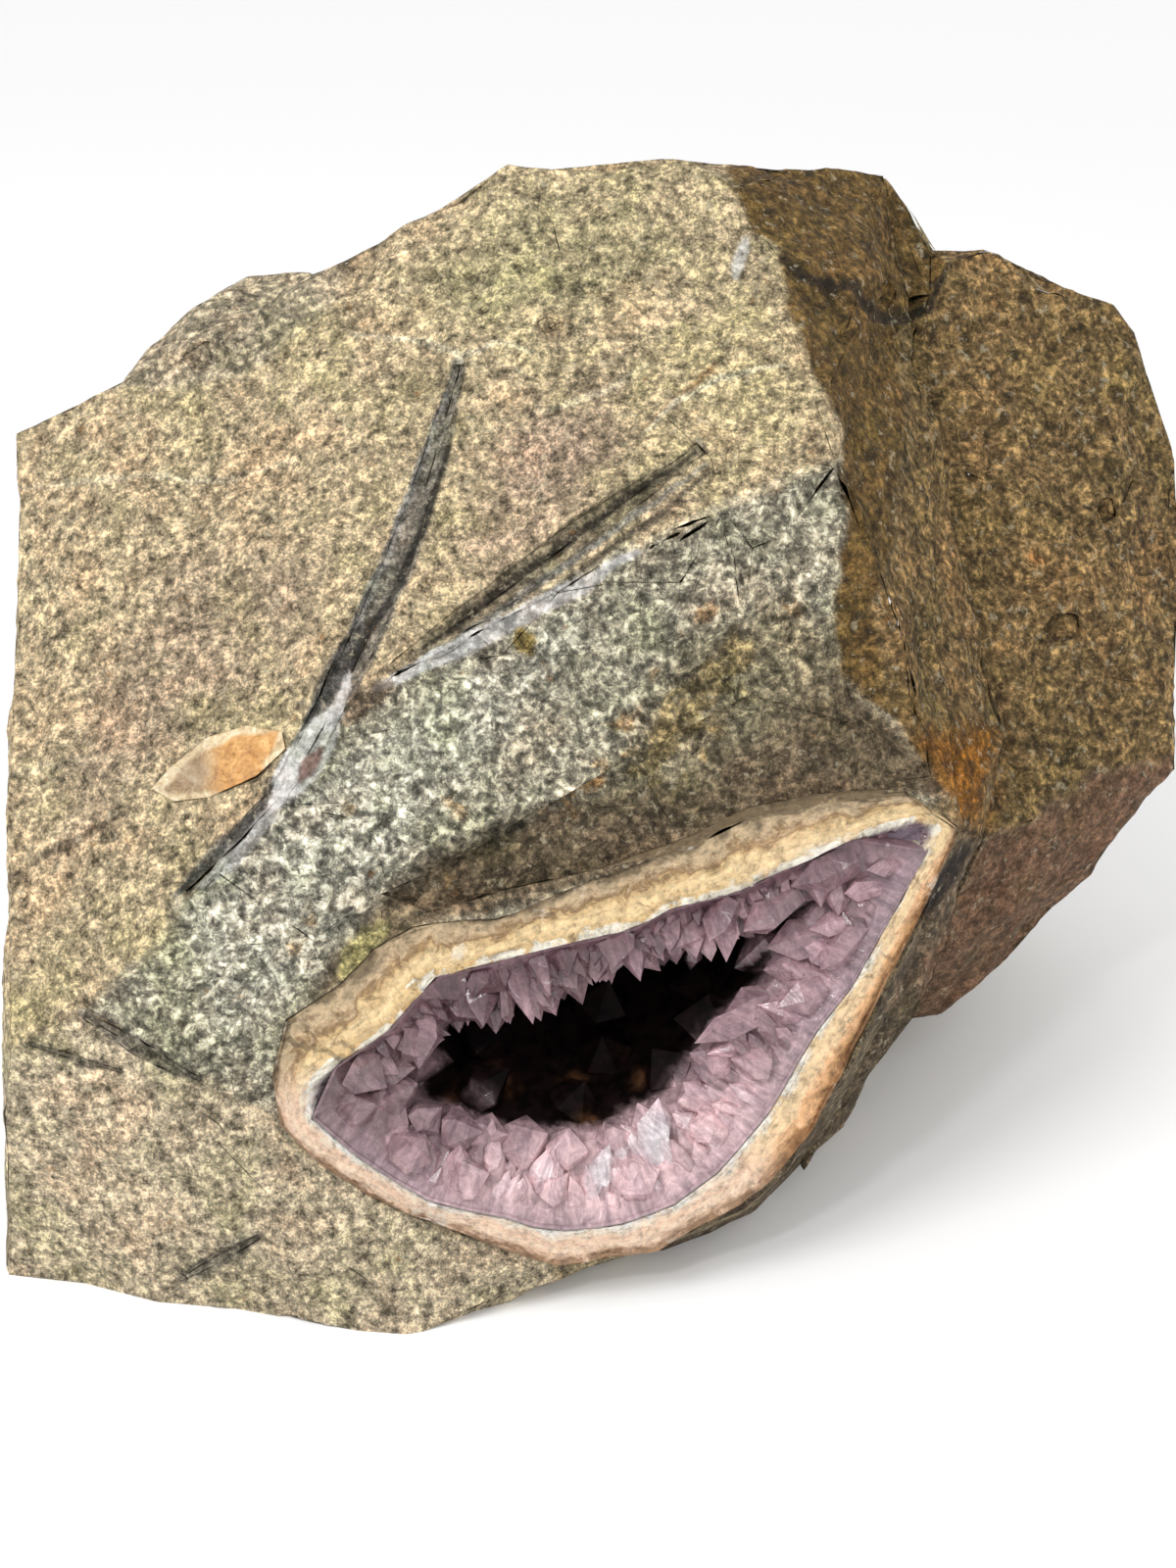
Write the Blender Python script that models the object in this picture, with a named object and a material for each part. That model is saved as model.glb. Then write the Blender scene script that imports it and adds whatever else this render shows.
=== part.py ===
"""Amethyst with calcite: a broken-open geode in a block of basalt. Metres, +Z up.

The rock stands on a flat base at z = 0. The hollow faces -Y and a little up.
"""
import heapq
import math
import random

import bmesh
import bpy
from mathutils import Matrix, Vector, noise
from mathutils.bvhtree import BVHTree

# Size of one step of the sight grid that the shapes are laid out on, in metres
STEP = 0.00035
# The grid is seen along a line this far from level, from this far away
SIGHT_TILT = math.radians(30.0)
SIGHT_DISTANCE = 0.778
GRID_MIDDLE = (600.0, 800.0)
# Height of the grid's middle over the base, and the base's middle in the grid's frame
MIDDLE_HEIGHT = 0.191
BASE_MIDDLE = (-0.040, 0.085)

# Gap between touching pieces
GAP = 0.00035
# Longest edge of the rock's skin, and how far it is roughened
SKIN_EDGE = 0.0350
ROUGH_LARGE = 0.0042
ROUGH_SMALL = 0.0024

# The geode: depth of the nodule, its shell and the crystal crust
NODULE_DEPTH = 0.112
SHELL_BACK = 0.014
CRUST_BACK = 0.012
SHELL_PROUD = 0.0015
THROAT_DEPTH = 0.011
THROAT_SHARE = 0.74
DIRECTIONS = 40
CRYSTAL_RADIUS = 0.0094
SEED = 11

TILT_SIN = math.sin(SIGHT_TILT)
TILT_COS = math.cos(SIGHT_TILT)


def at(x, y, toward=0.0):
    """The point that is seen at grid place x, y, and toward the viewer by millimetres."""
    w = toward * 0.001
    scale = STEP * (SIGHT_DISTANCE - w) / SIGHT_DISTANCE
    u = (x - GRID_MIDDLE[0]) * scale
    v = (GRID_MIDDLE[1] - y) * scale
    return Vector((
        u - BASE_MIDDLE[0],
        v * TILT_SIN - w * TILT_COS - BASE_MIDDLE[1],
        v * TILT_COS + w * TILT_SIN + MIDDLE_HEIGHT,
    ))


def seen_from():
    """Where the grid is seen from."""
    return at(*GRID_MIDDLE, SIGHT_DISTANCE * 1000.0)


def world(x, y, z):
    """A point by its distances in millimetres from the grid's middle line, and its height."""
    return Vector((x * 0.001 - BASE_MIDDLE[0], y * 0.001 - BASE_MIDDLE[1], z * 0.001))


def front_plane(x, y):
    """How far toward the viewer the broken front face stands, in millimetres."""
    u = (x - GRID_MIDDLE[0]) * STEP * 1000.0
    v = (GRID_MIDDLE[1] - y) * STEP * 1000.0
    return 0.145 * (v - 80.0) - 0.12 * (u - 7.0)


def new_collection(name):
    made = bpy.data.collections.new(name)
    bpy.context.scene.collection.children.link(made)
    return made


def mesh_object(name, bm, collection):
    mesh = bpy.data.meshes.new(name)
    bm.to_mesh(mesh)
    bm.free()
    made = bpy.data.objects.new(name, mesh)
    collection.objects.link(made)
    return made


def hull(name, points, collection):
    """A convex block around the points."""
    bm = bmesh.new()
    for point in points:
        bm.verts.new(point)
    result = bmesh.ops.convex_hull(bm, input=bm.verts[:])
    loose = [v for v in result["geom_interior"] if isinstance(v, bmesh.types.BMVert)]
    loose += [v for v in bm.verts if not v.link_faces and v not in loose]
    bmesh.ops.delete(bm, geom=loose, context="VERTS")
    bmesh.ops.recalc_face_normals(bm, faces=bm.faces[:])
    return mesh_object(name, bm, collection)


def combine(body, tool, operation, solver="EXACT"):
    """Cuts or joins the tool with the body, and removes the tool."""
    step = body.modifiers.new(operation, "BOOLEAN")
    step.operation = operation
    step.solver = solver
    step.object = tool
    graph = bpy.context.evaluated_depsgraph_get()
    mesh = bpy.data.meshes.new_from_object(body.evaluated_get(graph))
    body.modifiers.remove(step)
    old = body.data
    body.data = mesh
    bpy.data.meshes.remove(old)
    bpy.data.objects.remove(tool)


def refine(body, longest):
    """Splits the longest edges in the middle until none is longer than this."""
    bm = bmesh.new()
    bm.from_mesh(body.data)
    bmesh.ops.triangulate(bm, faces=bm.faces[:])
    waiting = [(-e.calc_length(), k, e) for k, e in enumerate(bm.edges)]
    heapq.heapify(waiting)
    count = len(waiting)
    while waiting and -waiting[0][0] > longest and count < 60000:
        _, _, edge = heapq.heappop(waiting)
        opposite = [(f, [v for v in f.verts if v not in edge.verts][0]) for f in edge.link_faces]
        near = edge.verts[0]
        fresh, middle = bmesh.utils.edge_split(edge, near, 0.5)
        made = [edge, fresh]
        for face, corner in opposite:
            half, line = bmesh.utils.face_split(face, middle, corner)
            made += [e for e in corner.link_edges if middle in e.verts]
        for changed in made:
            count += 1
            heapq.heappush(waiting, (-changed.calc_length(), count, changed))
    bm.to_mesh(body.data)
    bm.free()


def roughen(body, large, small, below=None):
    """Moves the skin in and out by rock-like noise, with chipped flats."""
    bm = bmesh.new()
    bm.from_mesh(body.data)
    bm.normal_update()
    moves = []
    for vert in bm.verts:
        p = vert.co
        lump = noise.noise(p * 17.0)
        chip = noise.noise(p * 48.0 + Vector((3.0, 7.0, 1.0)))
        cell = noise.cell(p * 34.0 + Vector((0.3, 0.8, 0.1)))
        amount = large * lump + small * chip + small * 0.7 * (cell - 0.5)
        if below is not None and p.z < below:
            amount = 0.0
        moves.append(vert.normal * amount)
    for vert, move in zip(bm.verts, moves):
        vert.co += move
    bm.to_mesh(body.data)
    bm.free()


def tidy(body):
    """Triangles only, with no slivers, and one closed skin facing out."""
    bm = bmesh.new()
    bm.from_mesh(body.data)
    bmesh.ops.remove_doubles(bm, verts=bm.verts[:], dist=0.00002)
    bmesh.ops.dissolve_degenerate(bm, edges=bm.edges[:], dist=0.00002)
    bmesh.ops.dissolve_limit(bm, angle_limit=0.004, verts=bm.verts[:], edges=bm.edges[:])
    bmesh.ops.triangulate(bm, faces=bm.faces[:])
    islands = []
    left = set(bm.verts)
    while left:
        start = left.pop()
        island = {start}
        wave = [start]
        while wave:
            near = {e.other_vert(v) for v in wave for e in v.link_edges} - island
            island |= near
            wave = list(near)
        left -= island
        islands.append(island)
    islands.sort(key=len, reverse=True)
    for island in islands[1:]:
        bmesh.ops.delete(bm, geom=list(island), context="VERTS")
    bmesh.ops.recalc_face_normals(bm, faces=bm.faces[:])
    bm.to_mesh(body.data)
    bm.free()


class Skin:
    """Finds places on a body's surface, as seen from the grid's view point."""

    def __init__(self, body):
        bm = bmesh.new()
        bm.from_mesh(body.data)
        self.tree = BVHTree.FromBMesh(bm)
        bm.free()

    def find(self, x, y):
        start = seen_from()
        way = (at(x, y) - start).normalized()
        place, normal, _, _ = self.tree.ray_cast(start, way)
        if place is None:
            place, normal, _, _ = self.tree.find_nearest(at(x, y))
        if normal.dot(way) > 0.0:
            normal = -normal
        return place, normal


def channel(name, skin, places, width, depth, collection):
    """A round-bottomed cutter that follows the surface through the places."""
    radius = (width * width / 4.0 + depth * depth) / (2.0 * depth)
    dense = []
    for (x0, y0), (x1, y1) in zip(places, places[1:]):
        count = max(1, round(math.hypot(x1 - x0, y1 - y0) / 55.0))
        dense += [(x0 + (x1 - x0) * k / count, y0 + (y1 - y0) * k / count) for k in range(count)]
    dense.append(places[-1])
    found = [skin.find(x, y) for x, y in dense]
    points = []
    for k, (place, _) in enumerate(found):
        near = found[max(0, k - 1):k + 2]
        normal = sum((n for _, n in near), Vector()).normalized()
        middle = sum((p for p, _ in near), Vector()) / len(near)
        if 0 < k < len(found) - 1:
            place = (place + middle) / 2.0
        points.append(place + normal * (radius - depth))
    curve = bpy.data.curves.new(name, "CURVE")
    curve.dimensions = "3D"
    curve.bevel_depth = radius
    curve.bevel_resolution = 2
    curve.use_fill_caps = True
    spline = curve.splines.new("POLY")
    spline.points.add(len(points) - 1)
    last = len(points) - 1
    for k, (point, place, (_, normal)) in enumerate(zip(spline.points, points, found)):
        # the ends run out to nothing, as a chisel leaves them
        narrow = 0.42 + 0.58 * min(1.0, 2.6 * min(k, last - k) / last)
        point.co = (*(place - normal * (radius - depth) * (1.0 - narrow)), 1.0)
        point.radius = narrow
    guide = bpy.data.objects.new(name + "_path", curve)
    collection.objects.link(guide)
    graph = bpy.context.evaluated_depsgraph_get()
    mesh = bpy.data.meshes.new_from_object(guide.evaluated_get(graph))
    bm = bmesh.new()
    bm.from_mesh(mesh)
    bmesh.ops.remove_doubles(bm, verts=bm.verts[:], dist=0.00001)
    bmesh.ops.recalc_face_normals(bm, faces=bm.faces[:])
    bpy.data.objects.remove(guide)
    bpy.data.meshes.remove(mesh)
    return mesh_object(name, bm, collection)


# The rock's outer form, as blocks

def rock_blocks(collection):
    """Convex blocks whose union is the rock before its skin is roughened."""
    front = [
        # crest between the bright upper face and the broken front
        at(860, 470, -5), at(740, 520, -1), at(620, 570, 1), at(400, 690, 4), at(285, 820, 3),
        at(161, 964, 0), at(86, 1030, -2), at(9, 1073, -12),
        # far edge of the upper face
        at(13, 440, -80), at(8, 700, -62), at(128, 386, -74), at(345, 300, -68),
        at(445, 246, -64), at(520, 176, -62), at(700, 168, -58), at(746, 189, -54),
        # corner between the upper face and the dark right wall
        at(800, 270, -40), at(846, 402, -17),
        # corner between the front and the right wall
        at(861, 678, -15), at(953, 797, -26), at(983, 836, -30), at(944, 935, -34),
        at(870, 1082, -36), at(808, 1196, -40), at(760, 1232, -42), at(678, 1270, -42),
        at(561, 1290, -38), at(417, 1363, -30), at(500, 1334, -36),
        at(320, 1348, -33), at(240, 1318, -40), at(8, 1302, -56),
    ]
    back = [
        world(-215, 150, 262), world(-222, 170, 90), world(-210, 190, -8), world(-225, -42, -8),
        world(-66, -72, -8), world(-15, -36, -8), world(30, -24, -8), world(66, -4, -8),
        world(112, 64, -8), world(150, 160, -8), world(130, 215, -8), world(-60, 222, -8),
        world(-60, 232, 280), world(130, 225, 270), world(60, 215, 318), world(-120, 215, 285),
        at(903, 176, -112), at(930, 330, -96), at(925, 470, -92), at(915, 850, -82),
        at(880, 1090, -98),
    ]
    wall = [
        at(846, 402, -24), at(858, 470, -12), at(859, 670, -20), at(905, 735, -22),
        at(950, 800, -30), at(978, 838, -34),
        at(928, 326, -86), at(926, 470, -84), at(915, 550, -74), at(897, 620, -62),
        at(950, 706, -66), at(1027, 749, -78), at(1004, 805, -72), at(1001, 855, -70),
        at(940, 990, -72), at(929, 1040, -84), at(872, 1112, -96), at(820, 1196, -96),
        world(60, 120, 60), world(60, 180, 200), world(100, 190, 250),
    ]
    lobe = [
        at(915, 250, -124), at(968, 268, -112), at(930, 330, -104), at(960, 262, -140), at(1012, 252, -122), at(1040, 276, -126),
        at(1098, 296, -132), at(1132, 316, -135), at(1158, 340, -138), at(1175, 377, -140),
        at(1192, 430, -142), at(1200, 470, -142), at(1200, 785, -128), at(1170, 778, -118),
        at(1114, 790, -104), at(1055, 838, -94), at(1004, 854, -86), at(925, 400, -98),
        at(915, 560, -88), at(1000, 700, -86), at(1100, 600, -104),
        at(1186, 797, -150), at(1150, 828, -156), at(1142, 848, -160), at(1096, 899, -164),
        at(1078, 930, -166), at(1040, 961, -166), at(1001, 995, -164), at(961, 1035, -160),
        at(923, 1047, -150), at(938, 1000, -110),
        world(232, 190, 150), world(215, 215, 240), world(180, 225, 270), world(140, 232, 300),
        world(150, 225, 40), world(110, 120, 8),
    ]
    lump = [
        at(118, 392, -84), at(150, 356, -104), at(190, 329, -112), at(253, 283, -116),
        at(290, 273, -116), at(316, 271, -114), at(343, 290, -100), at(352, 330, -84),
        at(250, 352, -84), at(180, 400, -86), world(-170, 175, 250), world(-60, 200, 290),
    ]
    top = [
        at(347, 294, -78), at(400, 271, -84), at(448, 244, -84), at(471, 220, -82),
        at(498, 198, -80), at(520, 178, -78), at(640, 168, -74), at(746, 178, -84),
        at(830, 174, -104), at(905, 180, -122), at(928, 209, -124), at(944, 234, -122),
        at(958, 256, -120), at(950, 300, -108),
        at(860, 300, -96), at(500, 330, -70), world(-40, 228, 300), world(120, 225, 290),
        world(40, 205, 335),
    ]
    return [hull(name, points, collection) for name, points in (
        ("front", front + back), ("wall", wall), ("lobe", lobe), ("lump", lump), ("top", top),
    )]


def spall_cutters(collection):
    """Ledges that flaked off the broken front and the dark wall."""
    made = []
    for name, rows in (
        # outline place, and how far under the front plane the cut goes there
        ("low_ledge", ((388, 912, 1.5), (470, 866, 3.0), (545, 826, 3.2), (650, 772, 2.6),
                       (770, 712, 1.6), (880, 735, 1.2), (948, 792, 1.6), (800, 816, 5.0),
                       (704, 866, 5.4), (600, 892, 4.6), (440, 932, 3.0))),
    ):
        points = []
        for x, y, depth in rows:
            face = front_plane(x, y)
            points.append(at(x, y, face - depth))
            points.append(at(x, y, face + 30.0))
        made.append(hull(name, points, collection))
    return made


# The geode's outlines and depth

CENTRE = (622.0, 1066.0)

RIM_OUTER = (
    (284, 1060), (294, 1036), (338, 1012), (395, 953), (442, 937), (506, 934), (572, 906),
    (656, 878), (712, 859), (743, 836), (804, 826), (855, 813), (919, 809), (967, 809),
    (983, 836), (967, 882), (944, 923), (909, 992), (870, 1073), (830, 1150), (778, 1213),
    (722, 1243), (672, 1273), (561, 1289), (492, 1264), (400, 1230), (344, 1200), (293, 1160),
    (275, 1117),
)
RIM_INNER = (
    (317, 1116), (319, 1105), (356, 1076), (402, 1045), (440, 996), (489, 984), (565, 963),
    (646, 946), (684, 925), (766, 905), (825, 874), (870, 854), (939, 832), (960, 846),
    (914, 923), (883, 989), (830, 1056), (789, 1130), (736, 1193), (684, 1231), (628, 1250),
    (560, 1256), (500, 1237), (451, 1232), (400, 1204), (360, 1176), (338, 1162), (316, 1137),
)
HOLLOW = (
    (412, 1095), (440, 1078), (454, 1048), (501, 1049), (544, 1045), (574, 1025), (612, 1003),
    (651, 1003), (671, 980), (735, 979), (761, 965), (799, 935), (814, 953), (789, 1007),
    (753, 1038), (719, 1075), (687, 1127), (648, 1145), (620, 1165), (559, 1170), (530, 1172),
    (473, 1154), (430, 1149), (411, 1108),
)


def radii(outline):
    """The outline's distance from the centre in each direction, on the grid."""
    polar = []
    for x, y in outline:
        dx, dy = x - CENTRE[0], CENTRE[1] - y
        polar.append((math.atan2(dy, dx) % math.tau, math.hypot(dx, dy)))
    polar.sort()
    polar = [(polar[-1][0] - math.tau, polar[-1][1])] + polar + [(polar[0][0] + math.tau, polar[0][1])]
    found = []
    for k in range(DIRECTIONS):
        angle = math.tau * (k + 0.5) / DIRECTIONS
        for (a0, r0), (a1, r1) in zip(polar, polar[1:]):
            if a0 <= angle <= a1:
                share = (angle - a0) / max(a1 - a0, 1e-6)
                # along the straight line between the two outline places
                x0, y0 = r0 * math.cos(a0), r0 * math.sin(a0)
                x1, y1 = r1 * math.cos(a1), r1 * math.sin(a1)
                cross = (y1 - y0) * math.cos(angle) - (x1 - x0) * math.sin(angle)
                if abs(cross) > 1e-6:
                    found.append((x0 * (y1 - y0) - y0 * (x1 - x0)) / cross)
                else:
                    found.append(r0 + (r1 - r0) * share)
                break
    return found


def hollow_axis():
    """The way into the hollow: level, away from the viewer."""
    return Vector((0.06, 1.0, 0.02)).normalized()


def ring_point(radius, angle, depth, scale):
    """A point of the nodule: grid radius and direction at the front, then along the axis."""
    x = CENTRE[0] + radius * math.cos(angle)
    y = CENTRE[1] - radius * math.sin(angle)
    front = at(x, y, front_plane(x, y))
    middle = at(*CENTRE, front_plane(*CENTRE))
    return middle + (front - middle) * scale + hollow_axis() * depth


def bulb(name, radius_list, depth, grow, collection, mouth=0.030, throat=None, rings=6):
    """A closed bulb from in front of the face to the nodule's back, as rings."""
    throat = throat or radius_list
    levels = [(-mouth, 1.0, 0.0)]
    for k in range(rings):
        t = math.sin(0.5 * math.pi * k / rings)
        levels.append((depth * t, math.sqrt(max(0.0, 1.0 - t ** 2.3)), min(1.0, k)))
    if throat is not radius_list:
        levels.insert(2, (THROAT_DEPTH, 1.0, 1.0))
    bm = bmesh.new()
    loops = []
    for along, scale, share in levels:
        loop = []
        for k, (radius, narrow) in enumerate(zip(radius_list, throat)):
            angle = math.tau * (k + 0.5) / DIRECTIONS
            grown = radius * (1.0 - share) + narrow * share + grow / STEP
            loop.append(bm.verts.new(ring_point(grown, angle, along, scale)))
        loops.append(loop)
    back = bm.verts.new(ring_point(0.0, 0.0, depth, 1.0))
    mouth_middle = bm.verts.new(ring_point(0.0, 0.0, -mouth, 1.0))
    for near, far in zip(loops, loops[1:]):
        for k in range(DIRECTIONS):
            n = (k + 1) % DIRECTIONS
            bm.faces.new((near[k], near[n], far[n], far[k]))
    for k in range(DIRECTIONS):
        n = (k + 1) % DIRECTIONS
        bm.faces.new((loops[-1][k], loops[-1][n], back))
        bm.faces.new((loops[0][n], loops[0][k], mouth_middle))
    bmesh.ops.triangulate(bm, faces=bm.faces[:])
    bmesh.ops.recalc_face_normals(bm, faces=bm.faces[:])
    return mesh_object(name, bm, collection)


def face_block(name, lift, collection):
    """Everything in front of the broken face, lifted off it by this many millimetres."""
    corners = ((100, 700), (1150, 700), (1150, 1420), (100, 1420))
    near = [at(x, y, front_plane(x, y) + lift) for x, y in corners]
    far = [at(x, y, front_plane(x, y) + lift + 120.0) for x, y in corners]
    return hull(name, near + far, collection)


def crystal(base, tip, radius, turn, collection):
    """One six-sided point: a short prism and a pyramid."""
    way = (tip - base).normalized()
    length = (tip - base).length
    side = way.orthogonal().normalized()
    side = Matrix.Rotation(turn, 3, way) @ side
    other = way.cross(side)
    shoulder = max(length - radius * 1.15, length * 0.35)
    points = [tip]
    for k in range(6):
        angle = math.tau * k / 6.0
        spread = side * math.cos(angle) + other * math.sin(angle)
        points.append(base + spread * radius * 0.92)
        points.append(base + way * (shoulder + radius * 0.12 * (-1) ** k) + spread * radius)
    return hull("point", points, collection)


def crystals(inner, hollow, collection):
    """All the amethyst points: rows round the mouth, then down the walls to the back."""
    dice = random.Random(SEED)
    made = []
    wall_depth = NODULE_DEPTH - SHELL_BACK - CRUST_BACK
    rows = (
        # depth of the foot and of the tip, points in the row, foot and tip from rim 0 to hollow 1, size
        (0.006, 0.001, 15, 0.26, 0.68, 0.90),
        (0.013, 0.007, 25, 0.62, 1.02, 1.00),
        (0.032, 0.026, 11, 0.62, 1.30, 1.35),
        (0.054, 0.044, 6, 0.62, 1.35, 1.55),
        (0.070, 0.058, 3, 0.62, 1.50, 1.55),
    )
    for row, (foot, reach, count, start, end, size) in enumerate(rows):
        for k in range(count):
            turn = (k + 0.5 * (row % 2) + dice.uniform(-0.24, 0.24)) / count
            # more points on the long sides than a plain turn gives
            angle = math.tau * turn
            angle -= 0.30 * math.sin(2.0 * (angle - 0.40))
            place = (angle / math.tau * DIRECTIONS - 0.5) % DIRECTIONS
            low, part = int(place), place % 1.0
            high = (low + 1) % DIRECTIONS
            edge = inner[low] * (1 - part) + inner[high] * part
            mark = hollow[low] * (1 - part) + hollow[high] * part
            t = min(0.98, foot / wall_depth)
            scale = math.sqrt(1.0 - t ** 2.3)
            base_radius = (edge + (mark - edge) * start) * scale
            tip_radius = (edge + (mark - edge) * end * dice.uniform(0.88, 1.06)) * min(1.0, scale * 1.1)
            base = ring_point(base_radius, angle, foot + dice.uniform(-0.002, 0.002), 1.0)
            drift = dice.uniform(-0.08, 0.08)
            tip = ring_point(tip_radius, angle + drift, reach + dice.uniform(-0.004, 0.004), 1.0)
            radius = CRYSTAL_RADIUS * size * dice.uniform(0.70, 1.15)
            if (tip - base).length < radius * 1.5:
                tip = base + (tip - base).normalized() * radius * 1.5
            made.append(crystal(base, tip, radius, dice.uniform(0.0, math.tau), collection))
    return made


LENS_OUTLINE = ((155, 805), (176, 782), (214, 752), (252, 741), (288, 747), (292, 765),
                (262, 792), (214, 814), (178, 818))


def lens(name, skin, grow, proud, depth, collection):
    """The small lens of calcite, set into the upper face."""
    middle = Vector((0.0, 0.0, 0.0))
    found = [skin.find(x, y) for x, y in LENS_OUTLINE]
    for place, _ in found:
        middle += place / len(found)
    normal = sum((n for _, n in found), Vector()).normalized()
    points = []
    for place, _ in found:
        out = place - middle
        out -= normal * out.dot(normal)
        grown = place + out.normalized() * grow
        points.append(grown + normal * 0.0006)
        points.append(grown + normal * proud)
        points.append(middle + out * 0.74 + out.normalized() * grow - normal * depth)
    points.append(middle + normal * (proud + 0.0006))
    return hull(name, points, collection)


def material(name, colour, roughness):
    made = bpy.data.materials.new(name)
    made.use_nodes = True
    shader = made.node_tree.nodes["Principled BSDF"]
    shader.inputs["Base Color"].default_value = (*colour, 1.0)
    shader.inputs["Roughness"].default_value = roughness
    shader.inputs["Metallic"].default_value = 0.0
    return made


def main():
    for old in list(bpy.data.objects):
        bpy.data.objects.remove(old)
    parts = new_collection("amethyst_with_calcite")
    cutters = new_collection("amethyst_cutters")

    # the rock: blocks joined, its skin split and roughened
    blocks = rock_blocks(cutters)
    rock = blocks[0]
    for block in blocks[1:]:
        combine(rock, block, "UNION")
    rock.name = "basalt_matrix"
    cutters.objects.unlink(rock)
    parts.objects.link(rock)
    for cutter in spall_cutters(cutters):
        combine(rock, cutter, "DIFFERENCE")
    refine(rock, SKIN_EDGE)
    roughen(rock, ROUGH_LARGE, ROUGH_SMALL)
    floor = hull("floor", [world(x, y, z) for x in (-500, 500) for y in (-500, 500) for z in (-60, 0)], cutters)
    combine(rock, floor, "DIFFERENCE")

    # grooves that a chisel and a drill left
    skin = Skin(rock)
    for name, places, width, depth in (
        ("long_groove", ((468, 372), (440, 470), (415, 550), (372, 650), (338, 720), (285, 812),
                         (238, 862), (188, 908)), 0.0125, 0.0034),
        ("crest_groove", ((716, 458), (650, 502), (591, 546), (500, 614), (402, 682)),
         0.0130, 0.0042),
        ("low_groove", ((86, 1036), (140, 1068), (201, 1102)), 0.0070, 0.0024),
        ("thin_groove", ((30, 1066), (78, 1082), (123, 1094)), 0.0042, 0.0018),
        ("foot_groove", ((264, 1262), (224, 1284), (188, 1304)), 0.0070, 0.0024),
    ):
        combine(rock, channel(name, skin, places, width, depth, cutters), "DIFFERENCE")

    # pits and a hollow under the dark ledge
    for x, y, size, stretch in ((212, 364, 0.0085, 1.5), (168, 372, 0.0050, 1.2), (905, 300, 0.006, 2.0),
                                (560, 330, 0.004, 1.4), (1085, 640, 0.007, 1.6), (1130, 520, 0.006, 1.3)):
        place, normal = skin.find(x, y)
        bm = bmesh.new()
        bmesh.ops.create_icosphere(bm, subdivisions=1, radius=size)
        turn = normal.to_track_quat("Z", "Y").to_matrix()
        bmesh.ops.scale(bm, vec=(stretch, 1.0, 0.8), verts=bm.verts[:])
        bmesh.ops.rotate(bm, matrix=turn, verts=bm.verts[:])
        bmesh.ops.translate(bm, vec=place + normal * size * 0.15, verts=bm.verts[:])
        combine(rock, mesh_object("pit", bm, cutters), "DIFFERENCE")

    # pocket of the geode, its banded shell and the crust of crystals
    outer = radii(RIM_OUTER)
    inner = radii(RIM_INNER)
    hollow = radii(HOLLOW)
    combine(rock, bulb("pocket", outer, NODULE_DEPTH + GAP, GAP, cutters), "DIFFERENCE", "MANIFOLD")

    shell = bulb("calcite_rind", outer, NODULE_DEPTH, 0.0, parts)
    combine(shell, face_block("shell_face", SHELL_PROUD * 1000.0, cutters), "DIFFERENCE")
    shell_hole = bulb("shell_hole", inner, NODULE_DEPTH - SHELL_BACK, 0.0, cutters, mouth=0.05)
    combine(shell, shell_hole, "DIFFERENCE")

    crust = bulb("amethyst_crust", inner, NODULE_DEPTH - SHELL_BACK - GAP, -GAP, parts)
    combine(crust, face_block("crust_face", 0.6, cutters), "DIFFERENCE")
    throat = [a * (1.0 - THROAT_SHARE) + b * THROAT_SHARE for a, b in zip(inner, hollow)]
    crust_hole = bulb("crust_hole", inner, NODULE_DEPTH - SHELL_BACK - CRUST_BACK, -0.0015, cutters,
                      mouth=0.05, throat=throat)
    combine(crust, crust_hole, "DIFFERENCE")
    points = crystals(inner, hollow, cutters)
    cluster = points[0]
    for point in points[1:]:
        combine(cluster, point, "UNION")
    keep = bulb("keep", inner, NODULE_DEPTH - SHELL_BACK - 2.0 * GAP, -3.0 * GAP, cutters)
    combine(cluster, keep, "INTERSECT")
    combine(crust, cluster, "UNION")

    # the lens in the upper face
    combine(rock, lens("lens_pocket", skin, 0.0004, 0.010, 0.0068, cutters), "DIFFERENCE")
    vein = lens("calcite_lens", skin, 0.0, 0.0006, 0.0062, parts)

    for body, colour, roughness in (
        (rock, (0.20, 0.17, 0.13), 0.85),
        (shell, (0.62, 0.45, 0.31), 0.45),
        (crust, (0.36, 0.28, 0.45), 0.15),
        (vein, (0.70, 0.45, 0.24), 0.5),
    ):
        tidy(body)
        body.data.materials.clear()
        body.data.materials.append(material(body.name, colour, roughness))


main()
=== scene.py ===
import heapq
import math
import random

import bmesh
import bpy
import numpy as np
from bpy.props import FloatProperty, FloatVectorProperty, IntProperty, PointerProperty
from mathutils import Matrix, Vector, noise


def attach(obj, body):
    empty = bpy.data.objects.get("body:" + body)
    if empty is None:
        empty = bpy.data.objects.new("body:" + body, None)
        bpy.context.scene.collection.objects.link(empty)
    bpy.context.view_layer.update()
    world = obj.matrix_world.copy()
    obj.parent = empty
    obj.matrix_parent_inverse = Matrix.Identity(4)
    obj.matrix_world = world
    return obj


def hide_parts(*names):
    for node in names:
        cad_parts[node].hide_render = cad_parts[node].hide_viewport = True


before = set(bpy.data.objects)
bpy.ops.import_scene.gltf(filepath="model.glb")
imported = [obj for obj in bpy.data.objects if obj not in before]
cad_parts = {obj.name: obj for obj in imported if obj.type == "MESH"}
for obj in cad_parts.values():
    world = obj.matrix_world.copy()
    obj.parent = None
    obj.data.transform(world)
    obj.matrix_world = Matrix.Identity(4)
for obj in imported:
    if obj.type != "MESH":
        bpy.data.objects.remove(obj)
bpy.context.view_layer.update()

bl_info = {
    "name": "Amethyst with calcite",
    "version": (1, 0, 0),
    "blender": (4, 5, 0),
    "location": "View3D > Sidebar > Geode",
    "description": "A broken-open amethyst geode in a block of basalt",
    "category": "Add Mesh",
}

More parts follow.
